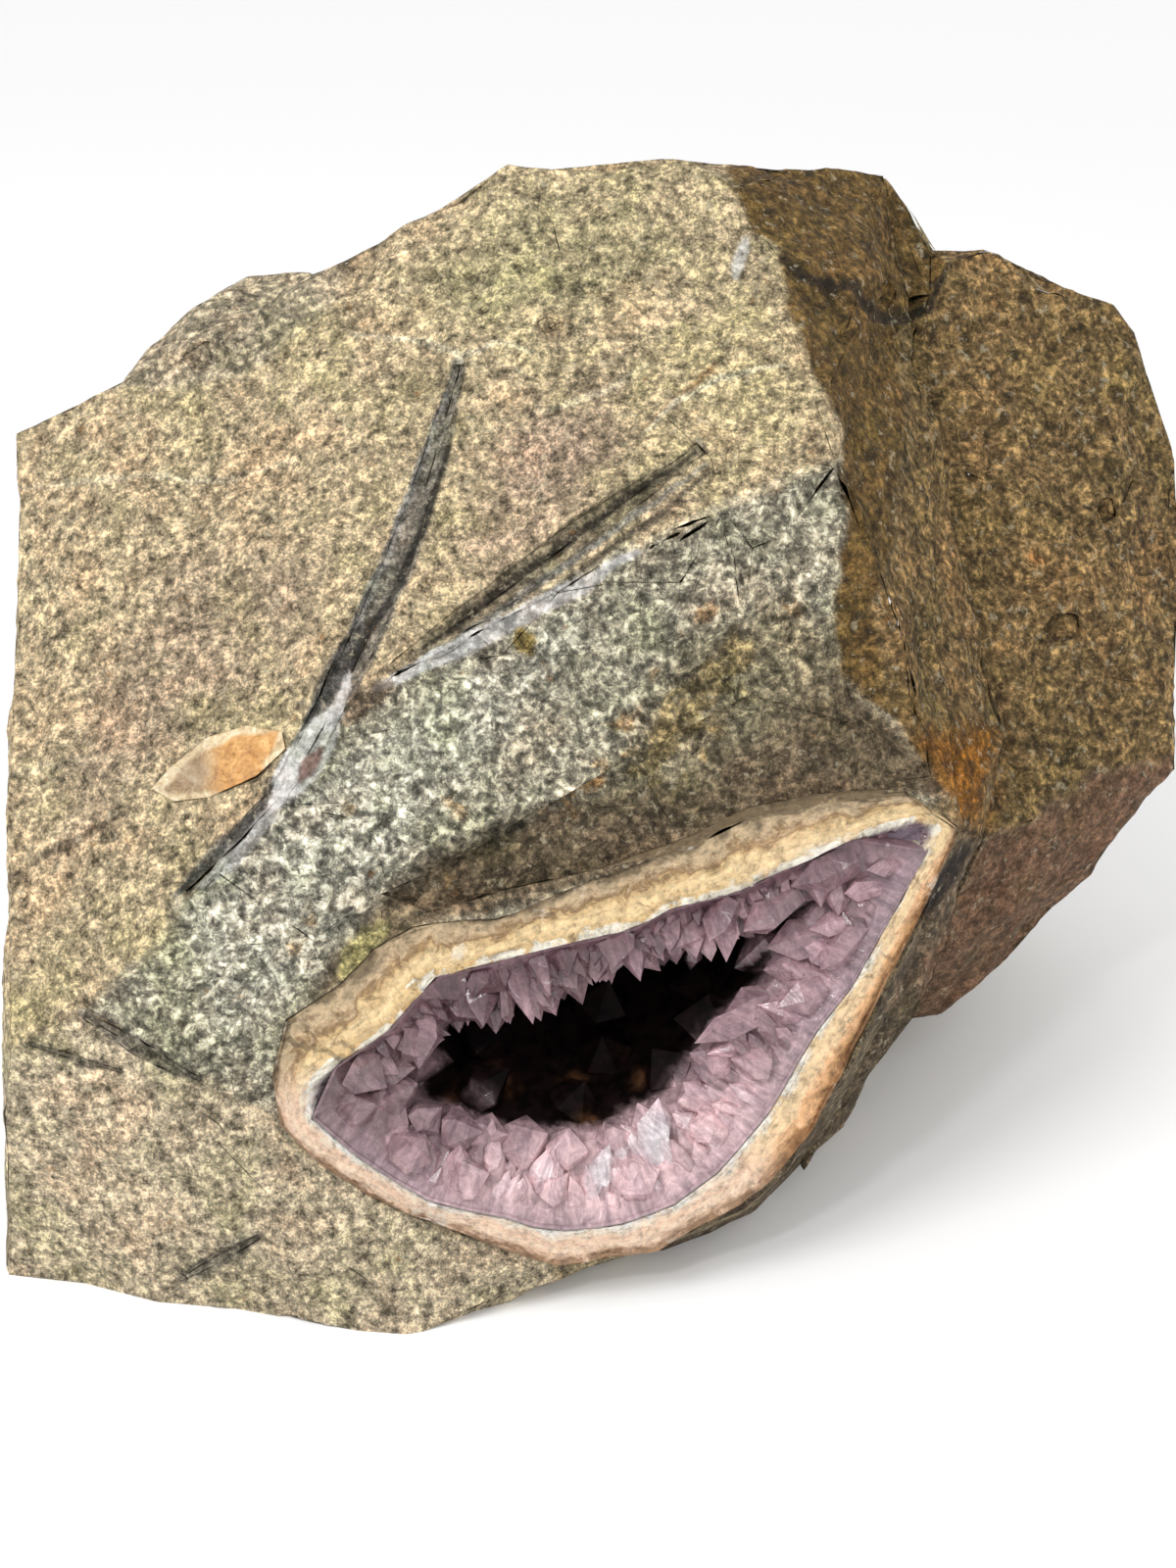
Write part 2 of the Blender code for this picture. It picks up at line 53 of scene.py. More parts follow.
# The sight grid that the rock's outlines and colours are laid out on
STEP = 0.00035
SIGHT_TILT = math.radians(30.0)
SIGHT_DISTANCE = 0.778
GRID_MIDDLE = (600.0, 800.0)
MIDDLE_HEIGHT = 0.191
BASE_MIDDLE = (-0.04, 0.085)

RIGHT = np.array((1.0, 0.0, 0.0))
UP = np.array((0.0, math.sin(SIGHT_TILT), math.cos(SIGHT_TILT)))
BACK = np.array((0.0, -math.cos(SIGHT_TILT), math.sin(SIGHT_TILT)))
MIDDLE = np.array((-BASE_MIDDLE[0], -BASE_MIDDLE[1], MIDDLE_HEIGHT))
EYE = MIDDLE + BACK * SIGHT_DISTANCE

# Outlines on the sight grid
CREST = ((860, 470), (740, 520), (620, 570), (400, 690), (350, 710), (285, 820), (190, 910),
         (161, 964), (86, 1030), (9, 1073))
RIM_OUTER = ((284, 1060), (294, 1036), (338, 1012), (395, 953), (442, 937), (506, 934), (572, 906),
             (656, 878), (712, 859), (743, 836), (804, 826), (855, 813), (919, 809), (967, 809),
             (983, 836), (967, 882), (944, 923), (909, 992), (870, 1073), (830, 1150), (778, 1213),
             (722, 1243), (672, 1273), (561, 1289), (492, 1264), (400, 1230), (344, 1200), (293, 1160),
             (275, 1117))
RIM_INNER = ((317, 1116), (319, 1105), (356, 1076), (402, 1045), (440, 996), (489, 984), (565, 963),
             (646, 946), (684, 925), (766, 905), (825, 874), (870, 854), (939, 832), (960, 846),
             (914, 923), (883, 989), (830, 1056), (789, 1130), (736, 1193), (684, 1231), (628, 1250),
             (560, 1256), (500, 1237), (451, 1232), (400, 1204), (360, 1176), (338, 1162), (316, 1137))
HOLLOW = ((412, 1095), (440, 1078), (454, 1048), (501, 1049), (544, 1045), (574, 1025), (612, 1003),
          (651, 1003), (671, 980), (735, 979), (761, 965), (799, 935), (814, 953), (789, 1007),
          (753, 1038), (719, 1075), (687, 1127), (648, 1145), (620, 1165), (559, 1170), (530, 1172),
          (473, 1154), (430, 1149), (411, 1108))
WALL_EDGE = ((746, 189), (765, 218), (792, 254), (807, 319), (830, 377), (862, 431), (860, 470))
FRONT_EDGE = ((860, 550), (855, 621), (852, 652), (861, 678), (884, 708), (912, 734), (943, 774),
              (953, 797), (967, 809))
WALL_FOOT = ((994, 856), (1004, 805), (1027, 749), (991, 726), (907, 693), (894, 652), (897, 588),
             (915, 550), (925, 469), (925, 367), (917, 326), (949, 313), (967, 269))
LOBE_FOOT = ((1004, 854), (1055, 838), (1114, 790), (1170, 778), (1240, 775))
LENS = ((158, 803), (180, 778), (205, 760), (236, 747), (262, 741), (290, 740), (286, 762), (272, 790),
        (256, 808), (225, 814), (196, 816), (165, 813))

# Zones of the rock's colour, painted one over the other, some of them painted light and shade: name, colour,
# softness of the edge, outline
ZONES = (
    ("upper_face", (0.59, 0.47, 0.29), 7.0,
     ((-40, 360), (128, 382), (250, 380), (345, 292), (520, 120), (746, 120)) + WALL_EDGE + CREST[1:]
     + ((-40, 1085),)),
    ("pinkish", (0.5, 0.37, 0.255), 34.0,
     ((470, 560), (520, 440), (600, 400), (680, 430), (600, 500), (520, 590))),
    ("olive", (0.53, 0.45, 0.26), 40.0,
     ((520, 200), (640, 190), (700, 260), (620, 330), (470, 330), (400, 320))),
    ("tan_left", (0.5, 0.385, 0.255), 34.0,
     ((180, 560), (330, 560), (300, 680), (200, 740), (60, 880), (60, 780))),
    ("golden", (0.62, 0.5, 0.29), 26.0, ((700, 330), (790, 290), (850, 430), (740, 500), (650, 480))),
    ("lump", (0.55, 0.465, 0.32), 8.0,
     ((100, 398), (128, 382), (150, 330), (253, 260), (345, 255), (352, 292), (300, 340), (250, 384))),
    ("front", (0.54, 0.5, 0.37), 6.0,
     CREST[:9] + ((201, 1102), (270, 1134), (293, 1160), (620, 1100), (967, 809)) + FRONT_EDGE[::-1]),
    # Painted shadow over the darker spalled rock above the geode's rim
    ("front_low_shade", (0.225, 0.168, 0.102), 12.0,
     ((300, 1050), (345, 960), (400, 900), (470, 868), (590, 815), (700, 780), (790, 705), (846, 655),
      (884, 708), (970, 809), (743, 850), (600, 910), (442, 950), (395, 970))),
    # Painted light: the lit upper left of the broken front face
    ("front_lit_left", (0.67, 0.64, 0.505), 22.0,
     ((255, 860), (330, 790), (470, 690), (600, 620), (560, 700), (440, 830), (360, 950), (230, 1060),
      (190, 930))),
    # Painted shade over the middle of the broken front face
    ("front_middle_shade", (0.375, 0.32, 0.2), 26.0,
     ((640, 760), (690, 670), (800, 610), (850, 640), (845, 690), (720, 790), (600, 820))),
    ("foot", (0.59, 0.49, 0.335), 7.0,
     ((-40, 1073), (9, 1073), (86, 1030), (201, 1102), (270, 1134), (293, 1160), (344, 1200),
      (434, 1251), (561, 1280), (575, 1420), (-40, 1420))),
    ("wall", (0.195, 0.118, 0.036), 5.0,
     ((746, 120),) + WALL_EDGE + FRONT_EDGE + WALL_FOOT + ((943, 180), (903, 120))),
    ("lobe", (0.3, 0.195, 0.08), 7.0,
     ((1240, 180), (967, 180), (967, 269), (949, 313)) + WALL_FOOT[::-1][2:] + LOBE_FOOT),
    ("under_lobe", (0.225, 0.128, 0.074), 9.0,
     LOBE_FOOT + ((1240, 1120), (929, 1120), (929, 1038), (938, 995), (1001, 855))),
    ("side", (0.15, 0.108, 0.066), 7.0,
     ((983, 836), (1001, 855), (938, 995), (929, 1080), (800, 1250), (660, 1310), (640, 1262),
      (778, 1200), (870, 1063), (944, 913))),
    ("wall_low", (0.255, 0.172, 0.066), 14.0, ((900, 690), (955, 705), (990, 745), (972, 800), (915, 738))),
    ("rust", (0.34, 0.14, 0.018), 20.0, ((945, 750), (1020, 745), (1008, 840), (976, 838))),
)

# Strips along the grooves, veins and cracks, and painted highlights and shade along edges and ledges: name,
# colour, strength, half width, softness, places
STRIPS = (
    ("long_groove", (0.185, 0.18, 0.16), 0.82, 15.0, 5.0,
     ((468, 372), (440, 470), (415, 550), (372, 650), (338, 720), (285, 812), (238, 862), (188, 908))),
    ("crest_groove", (0.23, 0.195, 0.13), 0.75, 15.0, 5.0,
     ((716, 458), (650, 504), (591, 548), (500, 617), (402, 686))),
    ("long_groove_slate", (0.33, 0.325, 0.3), 0.7, 3.0, 3.0,
     ((455, 400), (428, 470), (402, 545), (362, 640), (325, 715), (275, 800))),
    ("long_groove_crack", (0.035, 0.03, 0.025), 0.9, 2.5, 3.0,
     ((466, 415), (455, 470), (430, 545), (398, 610), (352, 690), (310, 735))),
    ("crest_groove_dark", (0.045, 0.038, 0.03), 0.85, 3.0, 3.0,
     ((712, 462), (650, 500), (591, 545), (510, 604), (430, 665))),
    ("crest_groove_slate", (0.3, 0.29, 0.255), 0.8, 2.5, 3.0,
     ((722, 474), (660, 518), (600, 560), (520, 616), (430, 676))),
    ("crest_groove_second", (0.06, 0.05, 0.038), 0.8, 2.5, 3.0,
     ((722, 484), (664, 532), (606, 572), (540, 618))),
    ("crest_streak", (0.8, 0.79, 0.75), 0.95, 8.0, 3.0,
     ((648, 564), (600, 594), (545, 622), (480, 655), (385, 702))),
    # Painted highlight where the crest's edge catches the light
    ("crest_highlight", (0.74, 0.64, 0.44), 0.75, 3.0, 3.0,
     ((860, 468), (800, 488), (740, 516), (680, 545), (640, 562))),
    # Painted highlight along the crest's lower left edge
    ("left_edge_highlight", (0.56, 0.48, 0.33), 0.7, 4.0, 4.0, ((285, 826), (190, 914), (161, 966), (86, 1032))),
    ("low_groove", (0.2, 0.18, 0.145), 0.85, 8.0, 4.0, ((83, 1032), (140, 1066), (201, 1102))),
    ("thin_groove", (0.21, 0.185, 0.145), 0.8, 3.5, 3.0, ((29, 1065), (78, 1081), (123, 1093))),
    ("foot_groove", (0.21, 0.19, 0.15), 0.8, 7.0, 4.0, ((267, 1260), (224, 1284), (184, 1306))),
    ("slate_block", (0.085, 0.083, 0.078), 0.78, 10.0, 6.0, ((370, 640), (345, 684), (318, 728))),
    ("low_slate", (0.11, 0.108, 0.1), 0.8, 6.0, 4.0, ((272, 818), (240, 852), (200, 890), (178, 914))),
    ("white_streak", (0.8, 0.79, 0.76), 0.8, 6.0, 4.0, ((290, 808), (264, 845), (234, 880), (205, 906))),
    ("white_edge", (0.8, 0.79, 0.76), 0.85, 4.0, 3.0, ((358, 686), (347, 715), (336, 745))),
    ("white_patch", (0.96, 0.94, 0.9), 0.97, 17.0, 4.0, ((342, 726), (312, 774), (280, 820))),
    ("red_stain", (0.23, 0.045, 0.02), 0.75, 5.0, 5.0, ((326, 765), (308, 795))),
    # Painted shadow, dark red-brown, beside the white patch
    ("red_brown_shadow", (0.13, 0.075, 0.035), 0.75, 9.0, 6.0, ((352, 736), (368, 716), (396, 699))),
    ("white_spot", (0.86, 0.84, 0.78), 0.85, 4.5, 4.0, ((762, 244), (755, 262), (749, 280))),
    ("rust_crack", (0.21, 0.095, 0.035), 0.7, 2.5, 3.0, ((732, 372), (700, 400), (655, 438))),
    ("wall_crack", (0.03, 0.02, 0.012), 0.85, 4.0, 4.0,
     ((800, 262), (822, 283), (853, 294), (872, 289), (891, 321), (916, 329), (949, 313), (965, 275))),
    ("side_crack", (0.02, 0.013, 0.01), 0.9, 6.0, 5.0, ((985, 866), (958, 907), (940, 933))),
    ("left_crack", (0.075, 0.055, 0.035), 0.7, 3.0, 3.0, ((0, 900), (60, 866), (125, 830))),
    ("pale_line", (0.66, 0.56, 0.38), 0.5, 3.0, 3.0, ((6, 790), (66, 778), (125, 770))),
    ("ledge_shade", (0.085, 0.065, 0.042), 0.7, 6.0, 8.0,
     ((400, 903), (450, 872), (500, 850), (545, 830), (592, 816))),
    ("green_patch", (0.52, 0.45, 0.19), 0.7, 12.0, 9.0, ((352, 992), (370, 970), (390, 950))),
    ("vein_one", (0.82, 0.74, 0.54), 0.65, 2.0, 2.5, ((655, 442), (690, 410), (735, 386), (800, 372))),
    ("vein_two", (0.82, 0.74, 0.54), 0.6, 2.0, 2.5,
     ((360, 340), (430, 348), (470, 364), (505, 350), (545, 358))),
    ("vein_three", (0.78, 0.7, 0.5), 0.5, 2.0, 2.5, ((20, 500), (120, 486), (230, 490), (300, 470))),
    ("vein_four", (0.78, 0.7, 0.5), 0.45, 2.0, 2.5, ((545, 420), (620, 400), (660, 372))),
    ("ochre_spot", (0.64, 0.46, 0.12), 0.9, 9.0, 5.0, ((531, 645), (536, 655), (541, 664))),
)

# Stains with ragged edges: colour, half width, places
STAINS = (
    ((0.42, 0.31, 0.12), 20.0, ((748, 665), (715, 705), (680, 745), (668, 780))),
    ((0.4, 0.29, 0.115), 10.0, ((700, 772), (735, 765))),
    ((0.56, 0.3, 0.09), 3.0, ((800, 620), (835, 630))),
    ((0.54, 0.3, 0.1), 3.0, ((560, 830), (575, 838), (715, 622), (722, 624))),
    ((0.62, 0.37, 0.14), 4.0, ((650, 660), (654, 666))),
    ((0.62, 0.37, 0.14), 4.0, ((693, 687), (698, 691))),
    ((0.58, 0.33, 0.12), 4.0, ((717, 768), (722, 773))),
    ((0.64, 0.4, 0.17), 4.0, ((452, 815), (460, 819))),
    ((0.58, 0.33, 0.12), 3.0, ((602, 795), (606, 799))),
    ((0.6, 0.4, 0.16), 4.0, ((353, 821), (360, 826))),
    ((0.64, 0.4, 0.17), 4.0, ((430, 861), (440, 865))),
    ((0.6, 0.38, 0.16), 3.0, ((565, 839), (570, 844))),
    ((0.6, 0.38, 0.16), 3.0, ((460, 900), (465, 906))),
    ((0.56, 0.33, 0.11), 2.0, ((300, 965), (318, 945))),
    ((0.48, 0.22, 0.07), 3.0, ((1052, 566), (1060, 572))),
)

# The middle of the geode's mouth
RING_CENTRE = (622.0, 1066.0)

# A line into each corner of the mouth, which crystals grow toward as they do toward the hollow
CORNER_LINES = (((806, 950), (872, 893), (935, 848)), ((418, 1104), (370, 1108), (330, 1118)))

# Rows of crystals: spacing, share of the way to the hollow, depth at foot and tip, radius
ROWS = (
    (13.0, (0.4, 0.66), 0.0022, 0.0045, (7.0, 11.0)),
    (12.0, (0.68, 0.96), 0.004, 0.0085, (8.0, 13.0)),
    (16.0, (0.9, 1.1), 0.009, 0.015, (9.0, 15.0)),
    (22.0, (0.95, 1.2), 0.016, 0.024, (10.0, 17.0)),
)

# Single crystals that stand out: foot, tip, radius, depth
SINGLES = (
    ((800, 1020), (707, 1062), 17.0, 0.004), ((770, 1060), (722, 1078), 13.0, 0.005),
    ((668, 1195), (668, 1120), 20.0, 0.004), ((700, 1170), (690, 1130), 15.0, 0.007),
    ((500, 1215), (505, 1144), 22.0, 0.005), ((463, 1215), (470, 1168), 15.0, 0.003),
    ((548, 1225), (562, 1172), 17.0, 0.004), ((600, 1230), (622, 1165), 17.0, 0.004),
    ((520, 960), (548, 1044), 24.0, 0.004), ((545, 965), (558, 1018), 18.0, 0.002),
    ((480, 985), (496, 1048), 20.0, 0.005), ((432, 1015), (428, 1092), 22.0, 0.005),
    ((640, 935), (652, 1002), 15.0, 0.005), ((735, 920), (742, 982), 17.0, 0.005),
    ((700, 915), (712, 978), 15.0, 0.006), ((610, 945), (612, 1003), 14.0, 0.007),
    ((830, 880), (842, 925), 17.0, 0.002), ((850, 895), (856, 935), 15.0, 0.003),
    ((880, 940), (826, 948), 15.0, 0.003), ((875, 965), (812, 968), 14.0, 0.004),
    ((860, 1000), (795, 985), 17.0, 0.005), ((850, 1035), (772, 1030), 18.0, 0.004),
    ((905, 905), (862, 912), 12.0, 0.002), ((920, 880), (884, 890), 11.0, 0.002),
    ((355, 1130), (415, 1112), 15.0, 0.006), ((395, 1175), (412, 1122), 15.0, 0.007),
    ((436, 1200), (430, 1150), 14.0, 0.005), ((380, 1080), (408, 1096), 17.0, 0.004),
)

# Colours: the rock away from the zones, the crust's foot, lit (painted light), high (painted shade) and left
# parts, its dark depths (painted shade) with painted glints
PLAIN_ROCK = (0.3, 0.235, 0.14)
FOOT_MAUVE = (0.34, 0.26, 0.28)
LIT_MAUVE = (0.93, 0.7, 0.7)
SHADED_HIGH_MAUVE = (0.15, 0.076, 0.09)
LEFT_MAUVE = (0.28, 0.2, 0.2)
DEEP_SHADE = (0.006, 0.003, 0.003)
DEEP_AMBER_GLINT = (0.055, 0.026, 0.01)
MAUVE_BALANCE = (0.93, 0.88, 0.89)
LENS_ORANGE = (0.52, 0.27, 0.085)
LENS_GREY = (0.27, 0.205, 0.13)
LENS_CREAM = (0.6, 0.49, 0.31)

# Skin: most faces of a piece, longest edges in metres, relief in metres
MOST_FACES = 185000
BASE_EDGE = 0.03
CRUST_EDGE = 0.006
LENS_EDGE = 0.0013
BASE_HEIGHT = 0.0006
STEP_HEIGHT = 0.0016
FIBRE_HEIGHT = 0.0008
FIBRE_TURN = np.array([[0.8, 0, -0.6], [0, 1, 0], [0.6, 0, 0.8]])

# The map that tells where the rock's skin is finest, in steps of the sight grid
MAP_CELL = 4.0
MAP_COLUMNS = 310
MAP_ROWS = 410
LINE_REACH = 6.0

# Strips whose colour is above this everywhere have a calm grain
WHITE = 0.7

# Crystals stand where the crust is at least this wide, and are dull past this share of shade
SMALLEST_GAP = 9.0
DEEP_SHARE = 0.85

# A distance longer than any on the sight grid, and a length that no division falls below
FAR = 1e9
TINY = 1e-9

# The rind: its relief, how far its edges drop, and how far it's tucked behind the crystals, in metres
RIND_CHIPS = 0.0007
RIND_LUMPS = 0.0006
RIND_DROP = 0.0012
RIND_TUCK = 0.006

# The stage: width of the floor, the lamps' aim, and each lamp's name, place, size and power
FLOOR_WIDTH = 8.0
LAMP_AIM = (0.02, 0.0, 0.16)
LAMPS = (("key", (-0.75, -0.55, 1.3), 0.55, 9.0), ("glint", (-0.3, -0.7, 0.95), 0.09, 1.6))
CAMERA_LENS = 50.0
FILM_WIDTH = 36.0


class GeodeSettings(bpy.types.PropertyGroup):
    """Sizes and looks of the geode"""

    front_edge: FloatProperty(
        name="Front edge", description="Longest edge of the rock's skin where it faces the viewer",
        default=0.0034, min=0.001, subtype="DISTANCE", unit="LENGTH")
    line_edge: FloatProperty(
        name="Line edge", description="Longest edge of the rock's skin along grooves, veins and creases",
        default=0.0017, min=0.001, subtype="DISTANCE", unit="LENGTH")
    far_edge: FloatProperty(
        name="Far edge", description="Longest edge of the rock's skin elsewhere",
        default=0.0085, min=0.002, subtype="DISTANCE", unit="LENGTH")
    lump_height: FloatProperty(
        name="Lump height", description="How far broad lumps stand out of the rock",
        default=0.0011, min=0.0, subtype="DISTANCE", unit="LENGTH")
    grain_height: FloatProperty(
        name="Grain height", description="How far small chips stand out of the rock",
        default=0.0008, min=0.0, subtype="DISTANCE", unit="LENGTH")
    rind_edge: FloatProperty(
        name="Rind edge", description="Longest edge of the rind's skin",
        default=0.0028, min=0.001, subtype="DISTANCE", unit="LENGTH")
    amethyst: FloatVectorProperty(
        name="Amethyst", description="Colour of the amethyst points", subtype="COLOR",
        default=(0.6, 0.42, 0.45), size=3, min=0.0, max=1.0)
    absorption: FloatProperty(
        name="Absorption", description="How much light amethyst takes for each metre", default=30.0, min=0.0)
    crystal_size: FloatProperty(
        name="Crystal size", description="Thickness of the added crystals against their usual one",
        default=1.0, min=0.3, max=2.0)
    seed: IntProperty(name="Seed", description="Which noise the surfaces take", default=4, min=0)


def settings():
    return bpy.context.scene.geode


def on_grid(points):
    """Grid place of each point, and how far it stands toward the viewer, in metres."""
    away = points - EYE
    depth = -(away @ BACK)
    scale = SIGHT_DISTANCE / depth / STEP
    x = GRID_MIDDLE[0] + (away @ RIGHT) * scale
    y = GRID_MIDDLE[1] - (away @ UP) * scale
    return x, y, SIGHT_DISTANCE - depth


def at(x, y, toward):
    """The point in space seen at a grid place, so far toward the viewer in metres."""
    depth = SIGHT_DISTANCE - toward
    across = (x - GRID_MIDDLE[0]) * STEP * RIGHT + (GRID_MIDDLE[1] - y) * STEP * UP
    return EYE + across * (depth / SIGHT_DISTANCE) - BACK * depth


def front_plane(x, y):
    """How far toward the viewer the broken front face stands, in metres."""
    u = (x - GRID_MIDDLE[0]) * STEP
    v = (GRID_MIDDLE[1] - y) * STEP
    return 0.145 * (v - 0.08) - 0.12 * (u - 0.007)


def segments(places, closed=False):
    """The straight pieces of a line, or of a closed outline."""
    ends = places[1:] + places[:1] if closed else places[1:]
    return list(zip(places, ends))


def along_segment(x, y, start, end):
    """How far along a segment the place nearest to each grid place lies, as a share, and its distance."""
    (x0, y0), (x1, y1) = start, end
    dx, dy = x1 - x0, y1 - y0
    share = np.clip(((x - x0) * dx + (y - y0) * dy) / max(dx * dx + dy * dy, TINY), 0.0, 1.0)
    return share, np.hypot(x - x0 - share * dx, y - y0 - share * dy)


def line_distance(x, y, places, closed=False):
    """Distance from each grid place to a line through the places."""
    best = np.full(len(x), FAR)
    for start, end in segments(places, closed):
        _, distance = along_segment(x, y, start, end)
        best = np.minimum(best, distance)
    return best


def along_line(x, y, places, closed=False):
    """How far along a line the place nearest to each grid place lies, and the line's length."""
    best = np.full(len(x), FAR)
    run = np.zeros(len(x))
    before = 0.0
    for start, end in segments(places, closed):
        share, distance = along_segment(x, y, start, end)
        length = math.dist(start, end)
        run = np.where(distance < best, before + share * length, run)
        best = np.minimum(best, distance)
        before += length
    return run, before


def nearest(x, y, lines):
    """The place nearest to a grid place on any of the segments."""
    best = None
    for (x0, y0), (x1, y1) in lines:
        dx, dy = x1 - x0, y1 - y0
        share = min(max(((x - x0) * dx + (y - y0) * dy) / max(dx * dx + dy * dy, TINY), 0.0), 1.0)
        place = (x0 + share * dx, y0 + share * dy)
        gap = math.hypot(x - place[0], y - place[1])
        if best is None or gap < best[0]:
            best = (gap, place)
    return best[1]


def walked(outline, spacing, dice):
    """Places along a closed outline, with uneven spacing."""
    places = []
    rest = 0.0
    for (x0, y0), (x1, y1) in segments(outline, closed=True):
        length = math.hypot(x1 - x0, y1 - y0)
        while rest < length:
            share = rest / length
            places.append((x0 + share * (x1 - x0), y0 + share * (y1 - y0)))
            rest += spacing * dice.uniform(0.7, 1.3)
        rest -= length
    return places


def inside(x, y, outline):
    """Whether each grid place is inside the outline."""
    found = np.zeros(len(x), bool)
    for (x0, y0), (x1, y1) in segments(outline, closed=True):
        if y0 == y1:
            continue
        crosses = (y0 > y) != (y1 > y)
        found ^= crosses & (x < (x1 - x0) * (y - y0) / (y1 - y0) + x0)
    return found


def smooth(value, low, high):
    """A smooth change from 0 at low to 1 at high."""
    share = np.clip((value - low) / (high - low), 0.0, 1.0)
    return share * share * (3.0 - 2.0 * share)


def soft_inside(x, y, outline, softness):
    """1 inside the outline, 0 outside, and a smooth change at its edge."""
    distance = line_distance(x, y, outline, closed=True)
    signed = np.where(inside(x, y, outline), distance, -distance)
    return smooth(signed, -softness, softness)


def short_in_needle(edge):
    """Whether a face of the edge is a needle with a longer edge, which is split instead."""
    length = edge.calc_length()
    for face in edge.link_faces:
        longest = max(e.calc_length() for e in face.edges)
        if face.calc_area() < 0.01 * length * length and longest > 1.001 * length:
            return True
    return False


def refined(mesh, target):
    """A bmesh of the mesh, its edges split while they're longer than target(middle, normal)."""
    bm = bmesh.new()
    bm.from_mesh(mesh)
    bmesh.ops.triangulate(bm, faces=bm.faces[:])
    bm.normal_update()

    def excess(edge):
        a, b = edge.verts
        middle = (a.co + b.co) / 2.0
        face = edge.link_faces[0].normal
        return -edge.calc_length() / target(middle, face)

    waiting = [(excess(e), k, e) for k, e in enumerate(bm.edges)]
    heapq.heapify(waiting)
    count = len(waiting)
    while waiting and waiting[0][0] < -1.0 and len(bm.faces) < MOST_FACES:
        _, _, edge = heapq.heappop(waiting)
        if short_in_needle(edge):
            continue
        opposite = [(f, [v for v in f.verts if v not in edge.verts][0]) for f in edge.link_faces]
        fresh, middle = bmesh.utils.edge_split(edge, edge.verts[0], 0.5)
        made = [edge, fresh]
        for face, corner in opposite:
            normal = face.normal.copy()
            half, _ = bmesh.utils.face_split(face, middle, corner)
            half.normal = normal
            face.normal = normal
            made += [e for e in corner.link_edges if middle in e.verts]
        for changed in made:
            count += 1
            heapq.heappush(waiting, (excess(changed), count, changed))
    bm.normal_update()
    return bm


def arrays(bm):
    """The places and normals of the vertices."""
    places = np.array([v.co[:] for v in bm.verts])
    normals = np.array([v.normal[:] for v in bm.verts])
    return places, normals


def facing_viewer(places, normals):
    """1 where a place faces the viewer, 0 where it's seen edge on, below 0 where it's turned away."""
    ways = EYE - places
    ways /= np.linalg.norm(ways, axis=1)[:, None]
    return (normals * ways).sum(1)


def painted(tint, share, colour):
    """The tint with a share of another colour over it."""
    share = share[:, None]
    return tint * (1.0 - share) + np.array(colour) * share


def noise_at(places, scale, shift):
    """Smooth noise from -1 to 1 at each place. scale may differ along X, Y and Z."""
    spots = places * np.asarray(scale) + shift
    return np.array([noise.noise(Vector(p)) for p in spots])


def rough_at(places, scale, shift, octaves=4):
    """Broken noise, about -1 to 1."""
    spots = places * scale + shift
    return np.array([noise.fractal(Vector(p), 0.9, 2.1, octaves) for p in spots])


def add_colour(mesh, name, values):
    layer = mesh.attributes.new(name, "FLOAT_COLOR", "POINT")
    four = np.ones((len(values), 4), np.float32)
    four[:, :3] = values
    layer.data.foreach_set("color", four.ravel())


def add_value(mesh, name, values):
    layer = mesh.attributes.new(name, "FLOAT", "POINT")
    layer.data.foreach_set("value", np.asarray(values, np.float32))


def add_vector(mesh, name, values):
    layer = mesh.attributes.new(name, "FLOAT_VECTOR", "POINT")
    layer.data.foreach_set("vector", np.asarray(values, np.float32).ravel())


def new_piece(name, bm, node, coat):
    """A visible piece from the bmesh, which stands for a node of the frame."""
    mesh = bpy.data.meshes.new(name)
    bm.to_mesh(mesh)
    bm.free()
    piece = bpy.data.objects.new(name, mesh)
    bpy.context.scene.collection.objects.link(piece)
    piece.data.materials.append(coat)
    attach(piece, "root")
    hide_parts(node)
    return piece


# Materials

